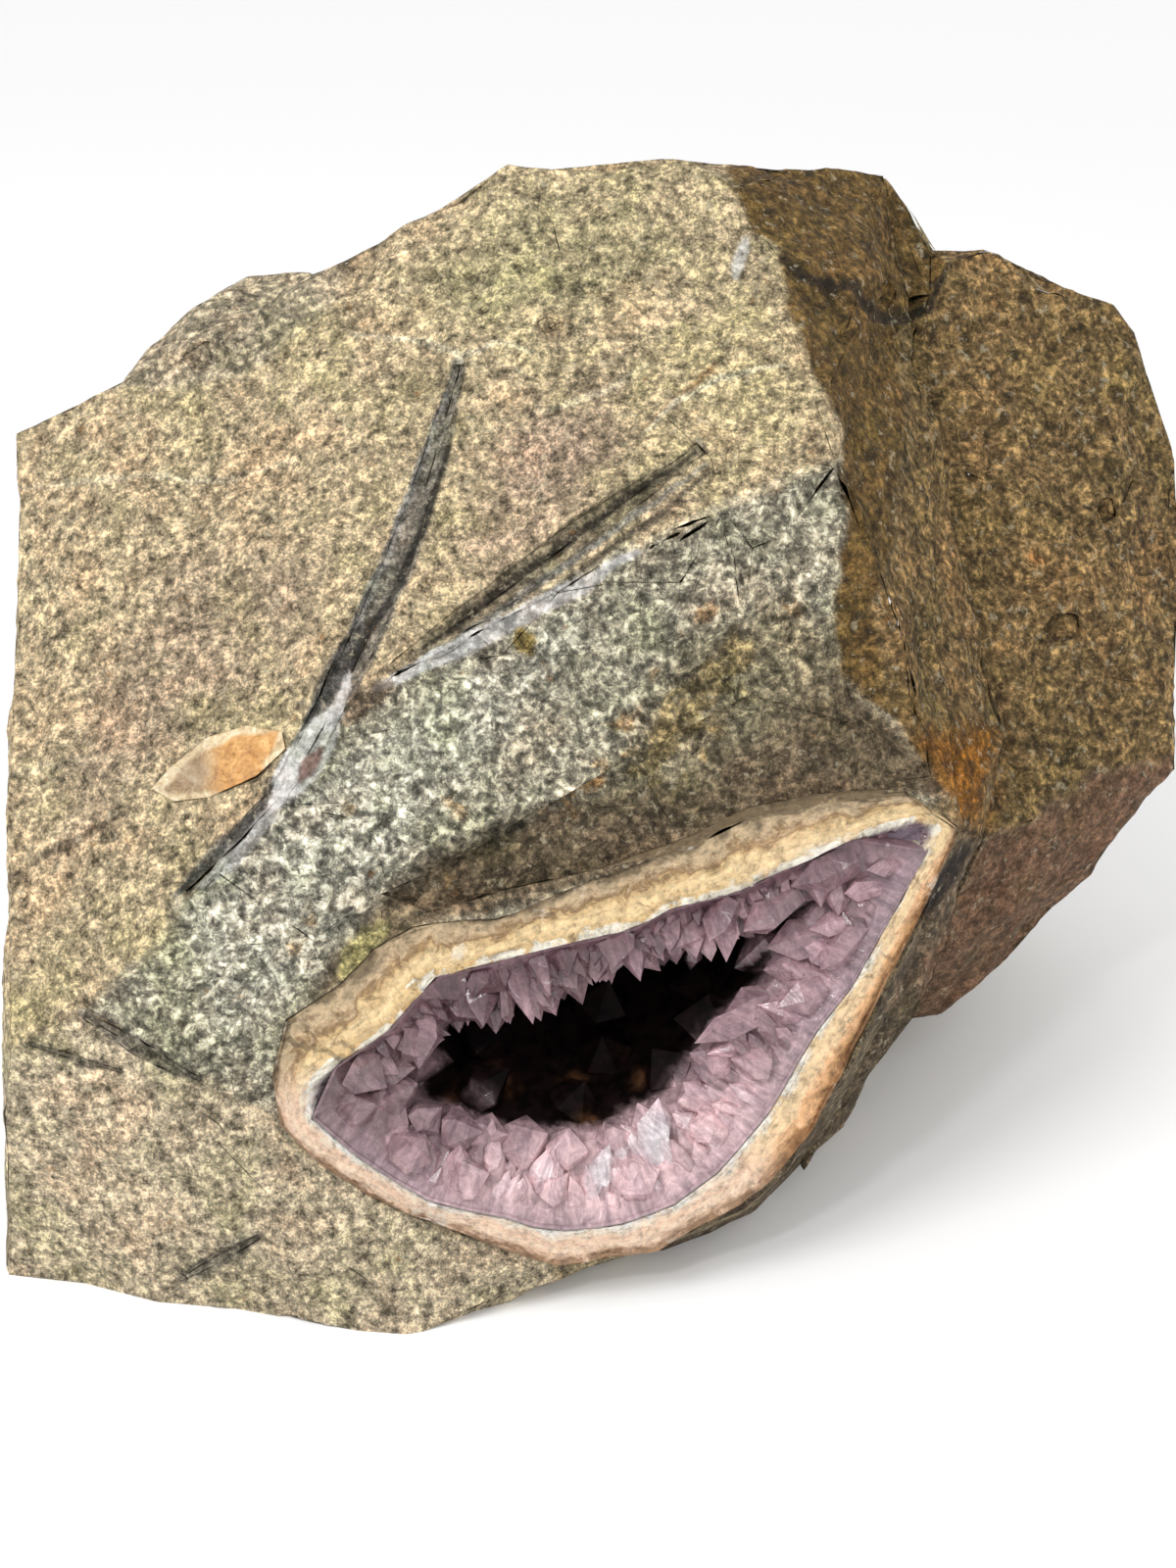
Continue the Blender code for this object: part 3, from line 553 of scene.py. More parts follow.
class Nodes:
    """Shorthand for building one material's nodes."""

    def __init__(self, name):
        self.material = bpy.data.materials.new(name)
        self.material.use_nodes = True
        self.tree = self.material.node_tree
        self.shader = self.tree.nodes["Principled BSDF"]
        self.output = self.tree.nodes["Material Output"]
        self.coords = self.tree.nodes.new("ShaderNodeTexCoord").outputs["Object"]

    def link(self, source, target):
        if hasattr(source, "is_output"):
            self.tree.links.new(source, target)
        else:
            target.default_value = source

    def attribute(self, name, output):
        node = self.tree.nodes.new("ShaderNodeAttribute")
        node.attribute_name = name
        return node.outputs[output]

    def noise(self, scale, detail=4.0, rough=0.55, at=None, distort=0.0):
        node = self.tree.nodes.new("ShaderNodeTexNoise")
        node.inputs["Scale"].default_value = scale
        node.inputs["Detail"].default_value = detail
        node.inputs["Roughness"].default_value = rough
        node.inputs["Distortion"].default_value = distort
        self.tree.links.new(at or self.coords, node.inputs["Vector"])
        return node.outputs["Fac"]

    def cells(self, scale, feature="F1"):
        node = self.tree.nodes.new("ShaderNodeTexVoronoi")
        node.feature = feature
        node.inputs["Scale"].default_value = scale
        self.tree.links.new(self.coords, node.inputs["Vector"])
        return node.outputs["Distance"]

    def ramp(self, value, stops):
        node = self.tree.nodes.new("ShaderNodeValToRGB")
        ramp = node.color_ramp
        while len(ramp.elements) < len(stops):
            ramp.elements.new(0.5)
        for element, (place, colour) in zip(ramp.elements, stops):
            element.position = place
            if not hasattr(colour, "__len__"):
                colour = (colour, colour, colour)
            element.color = (*colour, 1.0)
        self.tree.links.new(value, node.inputs["Fac"])
        return node.outputs["Color"]

    def mix(self, a, b, share=1.0, way="MIX"):
        node = self.tree.nodes.new("ShaderNodeMix")
        node.data_type = "RGBA"
        node.blend_type = way
        self.link(share, node.inputs["Factor"])
        for value, name in ((a, "A"), (b, "B")):
            socket = [s for s in node.inputs if s.name == name and s.type == "RGBA"][0]
            self.link(value if hasattr(value, "is_output") else (*value, 1.0), socket)
        return [s for s in node.outputs if s.type == "RGBA"][0]

    def shade(self, colour, by, share=1.0):
        """The colour multiplied by another."""
        return self.mix(colour, by, share, "MULTIPLY")

    def maths(self, way, a, b):
        node = self.tree.nodes.new("ShaderNodeMath")
        node.operation = way
        self.link(a, node.inputs[0])
        self.link(b, node.inputs[1])
        return node.outputs[0]

    def plus(self, a, b):
        return self.maths("ADD", a, b)

    def minus(self, a, b):
        return self.maths("SUBTRACT", a, b)

    def times(self, a, b):
        return self.maths("MULTIPLY", a, b)

    def roughness(self, scale, low, high):
        """A roughness that drifts between two values."""
        self.link(self.ramp(self.noise(scale), ((0.3, low), (0.7, high))), self.shader.inputs["Roughness"])

    def bump(self, height, distance, strength=1.0):
        node = self.tree.nodes.new("ShaderNodeBump")
        node.inputs["Strength"].default_value = strength
        node.inputs["Distance"].default_value = distance
        self.tree.links.new(height, node.inputs["Height"])
        self.tree.links.new(node.outputs["Normal"], self.shader.inputs["Normal"])


def basalt():
    """Weathered basalt: the painted tint broken by crumbs, grains, mottling and specks."""
    n = Nodes("basalt")
    tint = n.attribute("tint", "Color")
    speckle = n.attribute("speckle", "Fac")
    crumb = n.attribute("crumb", "Fac")
    olive = n.ramp(n.noise(32.0, 6.0, 0.66), ((0.34, (0.92, 0.96, 0.84)), (0.5, (1.0, 1.0, 1.0)),
                                              (0.66, (1.1, 1.0, 0.96))))
    colour = n.shade(tint, olive)
    patches = n.ramp(n.noise(85.0, 6.0, 0.7), ((0.32, 0.7), (0.5, 1.0), (0.68, 1.26)))
    colour = n.shade(colour, patches)
    fine = n.ramp(n.noise(230.0, 6.0, 0.92), ((0.4, 0.08), (0.472, 0.62), (0.528, 1.13), (0.6, 2.7)))
    coarse = n.ramp(n.noise(170.0, 6.0, 0.9, distort=0.4),
                    ((0.39, 0.07), (0.472, 0.6), (0.528, 1.13), (0.6, 2.9)))
    grains = n.mix(fine, coarse, n.times(crumb, 0.8))
    colour = n.shade(colour, n.mix((1.0, 1.0, 1.0), grains, speckle))
    grit = n.ramp(n.noise(340.0, 5.0, 0.8), ((0.4, 0.4), (0.5, 0.98), (0.6, 1.85)))
    colour = n.shade(colour, grit, n.times(crumb, n.times(speckle, 0.9)))
    pale = n.ramp(n.noise(190.0, 4.0, 0.74), ((0.59, 0.0), (0.65, 1.0)))
    colour = n.mix(colour, (0.82, 0.72, 0.5), n.times(n.times(pale, 0.5), speckle))
    pits = n.ramp(n.noise(230.0, 4.0, 0.72), ((0.34, 1.0), (0.4, 0.0)))
    colour = n.mix(colour, (0.075, 0.058, 0.03), n.times(pits, 0.55))
    rusty = n.ramp(n.noise(110.0, 6.0, 0.74), ((0.64, 0.0), (0.69, 1.0)))
    colour = n.mix(colour, (0.44, 0.2, 0.05), n.times(rusty, 0.55))
    n.link(colour, n.shader.inputs["Base Color"])
    n.roughness(180.0, 0.66, 0.92)
    n.shader.inputs["Specular IOR Level"].default_value = 0.25
    height = n.plus(n.noise(420.0, 6.0, 0.72), n.times(n.noise(150.0, 6.0, 0.75), n.times(crumb, 2.6)))
    n.bump(height, 0.0034, 1.0)
    return n.material


def banded():
    """The rind: bands of brown, cream and white calcite and agate, scalloped, spotted and cracked."""
    n = Nodes("banded_calcite")
    across = n.attribute("across", "Fac")
    low = n.attribute("low", "Fac")
    right = n.attribute("right", "Fac")
    past = n.attribute("past", "Fac")
    flow = n.attribute("flow", "Vector")
    wave = n.times(n.minus(n.noise(1.3, 5.0, 0.65, at=flow, distort=0.6), 0.5), 0.95)
    band = n.plus(across, wave)
    upper = n.ramp(band, ((0.06, (0.22, 0.16, 0.09)), (0.16, (0.44, 0.33, 0.2)), (0.3, (0.62, 0.46, 0.28)),
                          (0.42, (0.3, 0.18, 0.08)), (0.5, (0.66, 0.46, 0.23)), (0.72, (0.9, 0.68, 0.38)),
                          (0.93, (0.74, 0.51, 0.25)), (0.99, (0.93, 0.86, 0.72))))
    lower = n.ramp(band, ((0.02, (0.36, 0.22, 0.13)), (0.16, (0.72, 0.49, 0.34)), (0.36, (0.88, 0.66, 0.49)),
                          (0.6, (0.82, 0.56, 0.4)), (0.8, (0.88, 0.72, 0.56)), (0.98, (0.93, 0.88, 0.8))))
    side = n.ramp(band, ((0.02, (0.34, 0.17, 0.07)), (0.18, (0.62, 0.34, 0.15)), (0.36, (0.86, 0.5, 0.26)),
                         (0.52, (0.9, 0.64, 0.38)), (0.82, (0.86, 0.64, 0.38)), (0.98, (0.93, 0.86, 0.74))))
    colour = n.mix(n.mix(upper, lower, low), side, right)
    layers = n.ramp(n.noise(3.2, 5.0, 0.65, at=flow), ((0.34, 0.66), (0.48, 1.04), (0.66, 1.22)))
    colour = n.shade(colour, layers, 0.85)
    clouds = n.ramp(n.noise(240.0, 6.0, 0.8), ((0.36, 0.62), (0.48, 1.05), (0.64, 1.32)))
    colour = n.shade(colour, clouds, 0.9)
    spots = n.ramp(n.noise(105.0, 5.0, 0.72, distort=1.0), ((0.58, 0.0), (0.65, 1.0)))
    colour = n.mix(colour, (0.15, 0.085, 0.04), n.times(n.times(spots, 0.6), n.minus(1.0, low)))
    edges = n.ramp(n.cells(75.0, "DISTANCE_TO_EDGE"), ((0.0, 1.0), (0.035, 0.0)))
    colour = n.mix(colour, (0.22, 0.13, 0.06), n.times(edges, 0.1))
    chalk = n.ramp(n.noise(60.0, 5.0, 0.7), ((0.6, 0.0), (0.66, 1.0)))
    colour = n.mix(colour, (0.95, 0.88, 0.76), n.times(chalk, 0.55))
    colour = n.mix(colour, (0.3, 0.23, 0.28), past)
    n.link(colour, n.shader.inputs["Base Color"])
    n.roughness(150.0, 0.28, 0.6)
    n.shader.inputs["Subsurface Weight"].default_value = 0.1
    n.shader.inputs["Subsurface Radius"].default_value = (0.005, 0.0025, 0.0012)
    n.shader.inputs["Subsurface Scale"].default_value = 1.0
    n.bump(n.plus(n.noise(240.0, 6.0, 0.78), n.noise(2.6, 5.0, 0.6, at=flow)), 0.0024, 1.0)
    return n.material


def amethyst():
    """Amethyst: clear mauve, streaked along the columns, cloudy at the foot, with white veils."""
    n = Nodes("amethyst")
    tint = n.attribute("tint", "Color")
    clear = n.attribute("clear", "Fac")
    flow = n.attribute("flow", "Vector")
    streaks = n.ramp(n.noise(1.0, 5.0, 0.62, at=flow),
                     ((0.34, (0.46, 0.42, 0.5)), (0.5, (0.98, 0.96, 0.98)), (0.64, (1.45, 1.42, 1.42))))
    colour = n.shade(tint, streaks, 0.65)
    veils = n.ramp(n.noise(170.0, 5.0, 0.72, distort=1.5), ((0.34, 0.62), (0.52, 1.0), (0.68, 1.45)))
    colour = n.shade(colour, veils, 0.8)
    white = n.ramp(n.noise(95.0, 6.0, 0.75, distort=2.0), ((0.6, 0.0), (0.68, 1.0)))
    colour = n.mix(colour, (0.9, 0.8, 0.81), n.times(white, n.times(clear, 0.6)))
    n.link(colour, n.shader.inputs["Base Color"])
    n.roughness(320.0, 0.05, 0.22)
    n.link(n.times(clear, 0.55), n.shader.inputs["Transmission Weight"])
    n.shader.inputs["IOR"].default_value = 1.544
    n.bump(n.plus(n.noise(1.4, 4.0, 0.6, at=flow), n.noise(300.0, 3.0, 0.5)), 0.0008, 0.35)
    inside_node = n.tree.nodes.new("ShaderNodeVolumeAbsorption")
    inside_node.inputs["Color"].default_value = (0.62, 0.42, 0.66, 1.0)
    inside_node.inputs["Density"].default_value = settings().absorption
    n.tree.links.new(inside_node.outputs["Volume"], n.output.inputs["Volume"])
    return n.material


def shaded_amethyst():
    """The crystals far down in the hollow, which no light reaches."""
    n = Nodes("shaded_amethyst")
    tint = n.attribute("tint", "Color")
    cloud = n.ramp(n.noise(160.0, 4.0, 0.6), ((0.4, 0.35), (0.6, 1.5)))
    n.link(n.shade(tint, cloud), n.shader.inputs["Base Color"])
    n.roughness(200.0, 0.35, 0.6)
    n.shader.inputs["Specular IOR Level"].default_value = 0.06
    return n.material


def vein_calcite():
    """Orange and cream calcite with pale cleavage."""
    n = Nodes("vein_calcite")
    cloud = n.ramp(n.noise(150.0, 6.0, 0.75, distort=0.8),
                   ((0.34, (0.5, 0.42, 0.34)), (0.46, (0.92, 0.88, 0.82)), (0.54, (1.08, 1.1, 1.12)),
                    (0.64, (1.35, 1.55, 1.85))))
    colour = n.shade(n.attribute("tint", "Color"), cloud)
    cleave = n.ramp(n.cells(420.0), ((0.0, 0.7), (0.4, 1.08)))
    n.link(n.shade(colour, cleave, 0.8), n.shader.inputs["Base Color"])
    n.roughness(200.0, 0.35, 0.65)
    n.bump(n.plus(n.cells(330.0), n.noise(500.0)), 0.0012, 0.7)
    return n.material


# Pieces

def line_gaps():
    """Distance from each cell of a map of the sight grid to the nearest strip or crease."""
    cells = np.arange(MAP_COLUMNS * MAP_ROWS)
    x = (cells % MAP_COLUMNS) * MAP_CELL
    y = (cells // MAP_COLUMNS) * MAP_CELL
    gap = np.full(len(cells), FAR)
    for _, _, _, half, softness, line in STRIPS:
        gap = np.minimum(gap, line_distance(x, y, line) - half - softness)
    for line in (CREST, WALL_EDGE, FRONT_EDGE, LOBE_FOOT):
        gap = np.minimum(gap, line_distance(x, y, line) - MAP_CELL)
    return gap.tolist()


def beside_line(spot, gaps):
    """Whether a spot, measured from the eye, is seen close to a strip or crease."""
    depth = -spot.dot(Vector(BACK))
    scale = SIGHT_DISTANCE / depth / STEP
    column = int((GRID_MIDDLE[0] + spot.x * scale) / MAP_CELL)
    row = int((GRID_MIDDLE[1] - spot.dot(Vector(UP)) * scale) / MAP_CELL)
    on_map = 0 <= column < MAP_COLUMNS and 0 <= row < MAP_ROWS
    return on_map and gaps[row * MAP_COLUMNS + column] < LINE_REACH


def rock_edge(s):
    """A function that gives the longest edge of the rock's skin at a place."""
    eye = Vector(EYE)
    gaps = line_gaps()

    def target(middle, normal):
        way = eye - middle
        facing = normal.dot(way / way.length)
        if facing > 0.15 and beside_line(middle - eye, gaps):
            return s.line_edge
        if normal.z < -0.9 and middle.z < 0.001:
            return BASE_EDGE
        if facing > 0.12:
            return s.front_edge
        if facing > -0.15:
            return s.front_edge * 1.6
        return s.far_edge

    return target


def rock_relief(s, places, front, under, lobe):
    """How far each place of the rock stands out: broad lumps, chips, broken steps and fibres."""
    seed = float(s.seed)
    broad = rough_at(places, 42.0, seed, 3)
    chips = rough_at(places, 120.0, seed + 5.3, 4)
    steps = np.abs(rough_at(places, 70.0, seed + 9.1, 3))
    fibres = noise_at(places @ FIBRE_TURN, (60.0, 200.0, 420.0), seed)
    move = s.lump_height * broad * (0.8 + 0.8 * front + 0.6 * lobe)
    move += s.grain_height * chips * (0.8 + 0.7 * front + 0.5 * lobe)
    move -= STEP_HEIGHT * steps * (0.25 + front + 0.5 * lobe)
    move += FIBRE_HEIGHT * fibres * under
    return move


def rock_tint(s, places, x, y, shown):
    """The rock's painted colour with its painted light and shade, and where its white streaks calm the
    grain.
    """
    seed = float(s.seed)
    tint = np.empty((len(places), 3))
    drift = noise_at(places, 9.0, seed + 2.0)[:, None]
    tint[:] = np.array(PLAIN_ROCK) * (1.0 + 0.25 * drift)
    wobble_x = 9.0 * noise_at(places, 90.0, seed + 3.3)
    wobble_y = 9.0 * noise_at(places, 90.0, seed + 7.7)
    calm = np.zeros(len(places))
    for _, colour, softness, outline in ZONES:
        share = soft_inside(x + wobble_x, y + wobble_y, outline, softness) * shown
        tint = painted(tint, share, colour)
    for _, colour, strength, half, softness, line in STRIPS:
        distance = line_distance(x + 0.35 * wobble_x, y + 0.35 * wobble_y, line)
        run, length = along_line(x, y, line)
        width = half * (0.3 + 0.7 * smooth(np.minimum(run, length - run) / length, 0.0, 0.3))
        share = strength * shown * (1.0 - smooth(distance, width, width + softness))
        tint = painted(tint, share, colour)
        if min(colour) > WHITE:
            calm = np.maximum(calm, share)
    ragged = 26.0 * rough_at(places, 150.0, seed + 4.4, 3) + 8.0 * noise_at(places, 50.0, seed)
    for colour, half, line in STAINS:
        share = 0.62 * shown * smooth(half + ragged - line_distance(x, y, line), 0.0, 7.0)
        tint = painted(tint, share, colour)
    return tint, calm


class GEODE_OT_rock(bpy.types.Operator):
    """Make the basalt block, with its fine surface and its zones of colour, painted light and shade among
    them
    """

    bl_idname = "geode.rock"
    bl_label = "Basalt block"

    def execute(self, context):
        s = settings()
        bm = refined(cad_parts["basalt_matrix"].data, rock_edge(s))
        places, normals = arrays(bm)
        x, y, toward = on_grid(places)
        rim = line_distance(x, y, RIM_OUTER, closed=True)
        behind = (rim < 3.0) & (toward < front_plane(x, y) - 0.004)
        buried = inside(x, y, RIM_OUTER) | behind

        zones = {name: soft_inside(x, y, outline, softness) for name, _, softness, outline in ZONES}
        shown = smooth(facing_viewer(places, normals) + 0.22 * noise_at(places, 55.0, 6.1), -0.12, 0.16)
        front = np.clip(zones["front"] * shown, 0, 1)
        under = np.clip(zones["under_lobe"] * shown, 0, 1)
        lobe = np.clip(zones["lobe"] * shown + zones["wall"] * shown * 0.6, 0, 1)
        move = rock_relief(s, places, front, under, lobe)
        move *= np.where(buried, 0.0, smooth(rim, 2.0, 26.0))
        move[places[:, 2] < BASE_HEIGHT] = 0.0
        places = places + normals * move[:, None]
        places[:, 2] = np.maximum(places[:, 2], 0.0)
        for vert, place in zip(bm.verts, places):
            vert.co = place

        tint, calm = rock_tint(s, places, x, y, shown)
        # Painted shade: the rock's colour is darker where its relief sinks in
        depth_shade = np.clip(-move / 0.0022, 0.0, 1.0)[:, None]
        tint *= 1.0 - 0.35 * depth_shade
        speckle = (0.95 - 0.2 * under) * (1.0 - 0.6 * calm)
        crumb = 0.15 + 0.75 * front + 0.65 * lobe + 0.5 * zones["lump"] - 0.3 * zones["front_low_shade"]
        piece = new_piece("rock", bm, "basalt_matrix", basalt())
        add_colour(piece.data, "tint", np.clip(tint, 0.0, 1.0))
        add_value(piece.data, "speckle", speckle)
        add_value(piece.data, "crumb", np.clip(crumb, 0, 1))
        return {"FINISHED"}


class GEODE_OT_rind(bpy.types.Operator):
    """Make the banded calcite rind of the geode"""

    bl_idname = "geode.rind"
    bl_label = "Calcite rind"

    def execute(self, context):
        s = settings()
        seed = float(s.seed)
        eye = Vector(EYE)

        def target(middle, normal):
            return s.rind_edge if normal.dot((eye - middle).normalized()) > 0.3 else s.rind_edge * 4.0

        bm = refined(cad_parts["calcite_rind"].data, target)
        places, normals = arrays(bm)
        x, y, toward = on_grid(places)
        outer = line_distance(x, y, RIM_OUTER, closed=True)
        inner = line_distance(x, y, RIM_INNER, closed=True)
        closest = np.minimum(outer, inner)
        in_mouth = inside(x, y, RIM_INNER)
        across = outer / np.maximum(outer + inner, 1e-6)
        across = np.where(in_mouth, 1.0, np.where(inside(x, y, RIM_OUTER), across, 0.0))
        face = smooth(toward, front_plane(x, y) - 0.002, front_plane(x, y) + 0.0008)
        relief = RIND_CHIPS * rough_at(places, 110.0, seed, 4) + RIND_LUMPS * noise_at(places, 45.0, seed)
        move = face * (1.7 * relief - RIND_DROP * (1.0 - smooth(closest, 0.0, 7.0)))
        move = np.where(closest > 1.0, move, move * 0.4)
        past = np.where(in_mouth, smooth(inner, 2.5, 8.0), 0.0) * face
        for vert, place, way, amount, tucked in zip(bm.verts, places, normals, move, past):
            vert.co = place + way * amount
            vert.co -= Vector(BACK) * (RIND_TUCK * float(tucked))

        angle = np.arctan2(RING_CENTRE[1] - y, x - RING_CENTRE[0])
        above = smooth(np.sin(angle - 0.1), -0.12, 0.06)
        right = smooth(np.cos(angle - 0.1), 0.62, 0.86) * smooth(y, 830.0, 880.0)
        run, _ = along_line(x, y, RIM_OUTER, closed=True)
        piece = new_piece("rind", bm, "calcite_rind", banded())
        for name, values in (("across", across), ("low", 1.0 - above), ("right", right), ("past", past)):
            add_value(piece.data, name, values)
        add_vector(piece.data, "flow", np.stack((run / 34.0, across * 2.6, toward / 0.012), 1))
        return {"FINISHED"}


def add_point(bm, foot, tip, radius, dice):
    """One six-sided crystal from foot to tip, with an uneven pointed end."""
    axis = tip - foot
    length = np.linalg.norm(axis)
    axis = axis / length
    side = np.cross(axis, (0.31, 0.87, 0.38))
    side /= np.linalg.norm(side)
    over = np.cross(axis, side)
    roll = dice.uniform(0.0, math.pi / 3.0)
    cap = min(radius * dice.uniform(1.1, 2.0), 0.7 * length)
    rings = []
    for reach, width in ((0.0, 0.82), (length - cap, 1.0)):
        ring = []
        for k in range(6):
            turn = roll + k * math.pi / 3.0
            out = radius * width * (math.cos(turn) * side + math.sin(turn) * over) * dice.uniform(0.86, 1.12)
            shift = cap * dice.uniform(-0.22, 0.22) if reach else 0.0
            ring.append(bm.verts.new(foot + axis * (reach + shift) + out))
        rings.append(ring)
    lean = radius * 0.22 * (dice.uniform(-1.0, 1.0) * side + dice.uniform(-1.0, 1.0) * over)
    apex = bm.verts.new(tip + lean)
    made = [apex] + rings[0] + rings[1]
    for k in range(6):
        j = (k + 1) % 6
        bm.faces.new((rings[0][k], rings[0][j], rings[1][j], rings[1][k]))
        bm.faces.new((rings[1][k], rings[1][j], apex))
    bm.faces.new(rings[0][::-1])
    return made


def grow_rows(bm, value, s, dice):
    """Crystals in rows from the rind toward the hollow and into the mouth's corners."""
    lines = segments(HOLLOW, closed=True)
    for line in CORNER_LINES:
        lines += segments(line)
    for spacing, reach, foot_depth, tip_depth, (thin, thick) in ROWS:
        for x, y in walked(RIM_INNER, spacing, dice):
            cx, cy = nearest(x, y, lines)
            gap = math.hypot(cx - x, cy - y)
            if gap < SMALLEST_GAP:
                continue
            share = dice.uniform(*reach)
            slant = dice.uniform(-0.16, 0.16)
            tx = x + share * (cx - x) - slant * (cy - y)
            ty = y + share * (cy - y) + slant * (cx - x)
            fx, fy = x + 5.0 / gap * (cx - x), y + 5.0 / gap * (cy - y)
            radius = min(dice.uniform(thin, thick), 0.34 * gap) * STEP * s.crystal_size
            foot = at(fx, fy, front_plane(fx, fy) - foot_depth - radius)
            tip = at(tx, ty, front_plane(tx, ty) - tip_depth * dice.uniform(0.4, 1.2))
            tone = dice.uniform(0.7, 1.35)
            for vert in add_point(bm, foot, tip, radius, dice):
                vert[value] = tone


def grow_singles(bm, value, s, dice):
    """The crystals that stand out in the photograph, each at its own place."""
    for (fx, fy), (tx, ty), width, depth in SINGLES:
        radius = width * STEP * s.crystal_size
        foot = at(fx, fy, front_plane(fx, fy) - depth - radius)
        tip = at(tx, ty, front_plane(tx, ty) - depth)
        tone = dice.uniform(1.1, 1.5)
        for vert in add_point(bm, foot, tip, radius, dice):
            vert[value] = tone


def crust_looks(s, places, tones):
    """Colour with painted light, shade and glints, clearness, streak direction and share of painted shade of
    the crust at each place.
    """
    x, y, toward = on_grid(places)
    inner = line_distance(x, y, RIM_INNER, closed=True)
    hollow = line_distance(x, y, HOLLOW, closed=True)
    depth = front_plane(x, y) - toward
    foot = 1.0 - smooth(inner, 3.0, 30.0)
    down_hollow = smooth(hollow, 2.0, 20.0) * smooth(depth, 0.01, 0.02)
    depth_shade = np.maximum(smooth(depth, 0.014, 0.03), np.where(inside(x, y, HOLLOW), down_hollow, 0.0))
    # Painted light on the low crystals, where the lamp falls, and painted shade on the high ones
    low = smooth(y + 0.35 * (x - RING_CENTRE[0]), 1090.0, 1190.0)
    high = smooth(-y - 0.42 * (x - RING_CENTRE[0]), -1010.0, -960.0)
    left = smooth(-x, -470.0, -360.0) * smooth(-y, -1190.0, -1150.0)
    tint = np.array(s.amethyst)[None] * np.ones((len(x), 1))
    tint = painted(tint, foot, FOOT_MAUVE)
    tint = painted(tint, 0.9 * low * (1.0 - 0.7 * foot), LIT_MAUVE)
    tint = painted(tint, 0.88 * high, SHADED_HIGH_MAUVE)
    tint = painted(tint, 0.5 * left, LEFT_MAUVE)
    tint *= tones[:, None] * (1.0 + 0.25 * noise_at(places, 40.0, 8.2))[:, None]
    # Painted glints: faint amber light on some crystals down in the painted shade of the depths
    amber_glint = smooth(noise_at(places, 70.0, 3.1), 0.15, 0.5) * smooth(y, 1060.0, 1110.0)
    dark = np.array(DEEP_SHADE)[None] + np.array(DEEP_AMBER_GLINT)[None] * amber_glint[:, None]
    bright = np.clip(painted(tint, depth_shade, dark), 0.0, 1.0) * np.array(MAUVE_BALANCE)[None]
    clear = (1.0 - 0.65 * foot) * (1.0 - 0.9 * depth_shade) * (1.0 - 0.45 * low)
    run, _ = along_line(x, y, RIM_INNER, closed=True)
    flow = np.stack((run / 9.0, inner / 60.0, depth / 0.006), 1)
    return bright, clear, flow, depth_shade


def keep_faces(bm, kept):
    """Delete the faces with fewer than two kept corners. Gives the old number of each vertex left."""
    bm.verts.ensure_lookup_table()
    loose = [f for f in bm.faces if sum(bool(kept[v.index]) for v in f.verts) < 2]
    order = bm.verts.layers.int.new("order")
    for vert in bm.verts:
        vert[order] = vert.index
    bmesh.ops.delete(bm, geom=loose, context="FACES")
    bare = [v for v in bm.verts if not v.link_faces]
    bmesh.ops.delete(bm, geom=bare, context="VERTS")
    return np.array([v[order] for v in bm.verts], int)


class GEODE_OT_crust(bpy.types.Operator):
    """Make the crust of amethyst points"""

    bl_idname = "geode.crust"
    bl_label = "Amethyst crust"

    def execute(self, context):
        s = settings()
        dice = random.Random(s.seed + 20)
        bm = refined(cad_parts["amethyst_crust"].data, lambda middle, normal: CRUST_EDGE)
        value = bm.verts.layers.float.new("value")
        for vert in bm.verts:
            vert[value] = 1.0
        grow_rows(bm, value, s, dice)
        grow_singles(bm, value, s, dice)
        bmesh.ops.triangulate(bm, faces=bm.faces[:])
        bm.normal_update()
        bm.verts.index_update()

        places, _ = arrays(bm)
        tones = np.array([v[value] for v in bm.verts])
        bright, clear, flow, depth_shade = crust_looks(s, places, tones)
        back = bm.copy()
        for name, mesh, kept, coat in (
            ("crystals", bm, depth_shade < DEEP_SHARE, amethyst()),
            ("hollow_depths", back, depth_shade >= DEEP_SHARE, shaded_amethyst()),
        ):
            which = keep_faces(mesh, kept)
            piece = new_piece(name, mesh, "amethyst_crust", coat)
            add_colour(piece.data, "tint", bright[which])
            add_value(piece.data, "clear", clear[which])
            add_vector(piece.data, "flow", flow[which])
        return {"FINISHED"}


class GEODE_OT_lens(bpy.types.Operator):
    """Make the small calcite lens in the upper face"""

    bl_idname = "geode.lens"
    bl_label = "Calcite lens"

    def execute(self, context):
        bm = refined(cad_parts["calcite_lens"].data, lambda middle, normal: LENS_EDGE)
        places, normals = arrays(bm)
        x, y, _ = on_grid(places)
        up = smooth(facing_viewer(places, normals), 0.3, 0.7)
        move = up * (0.0009 * rough_at(places, 150.0, 3.0, 4) - 0.0002)
        for vert, place, way, amount in zip(bm.verts, places, normals, move):
            vert.co = place + way * amount
        jitter = 4.0 * noise_at(places, 160.0, 2.2)
        grey = 0.85 * smooth(jitter - x, -232.0, -200.0)
        pale = 0.85 * (1.0 - smooth(line_distance(x, y, LENS, closed=True) + jitter, 3.0, 9.0))
        tint = painted(np.array(LENS_ORANGE), grey, LENS_GREY)
        piece = new_piece("lens", bm, "calcite_lens", vein_calcite())
        add_colour(piece.data, "tint", painted(tint, pale, LENS_CREAM))
        return {"FINISHED"}


def make_floor():
    """The white paper under the rock."""
    bpy.ops.mesh.primitive_plane_add(size=FLOOR_WIDTH, location=(0.0, 0.0, 0.0))
    floor = bpy.context.object
    floor.name = "floor"
    coat = bpy.data.materials.new("paper")
    coat.use_nodes = True
    shader = coat.node_tree.nodes["Principled BSDF"]
    shader.inputs["Base Color"].default_value = (0.93, 0.93, 0.93, 1.0)
    shader.inputs["Roughness"].default_value = 0.9
    shader.inputs["Specular IOR Level"].default_value = 0.1
    floor.data.materials.append(coat)


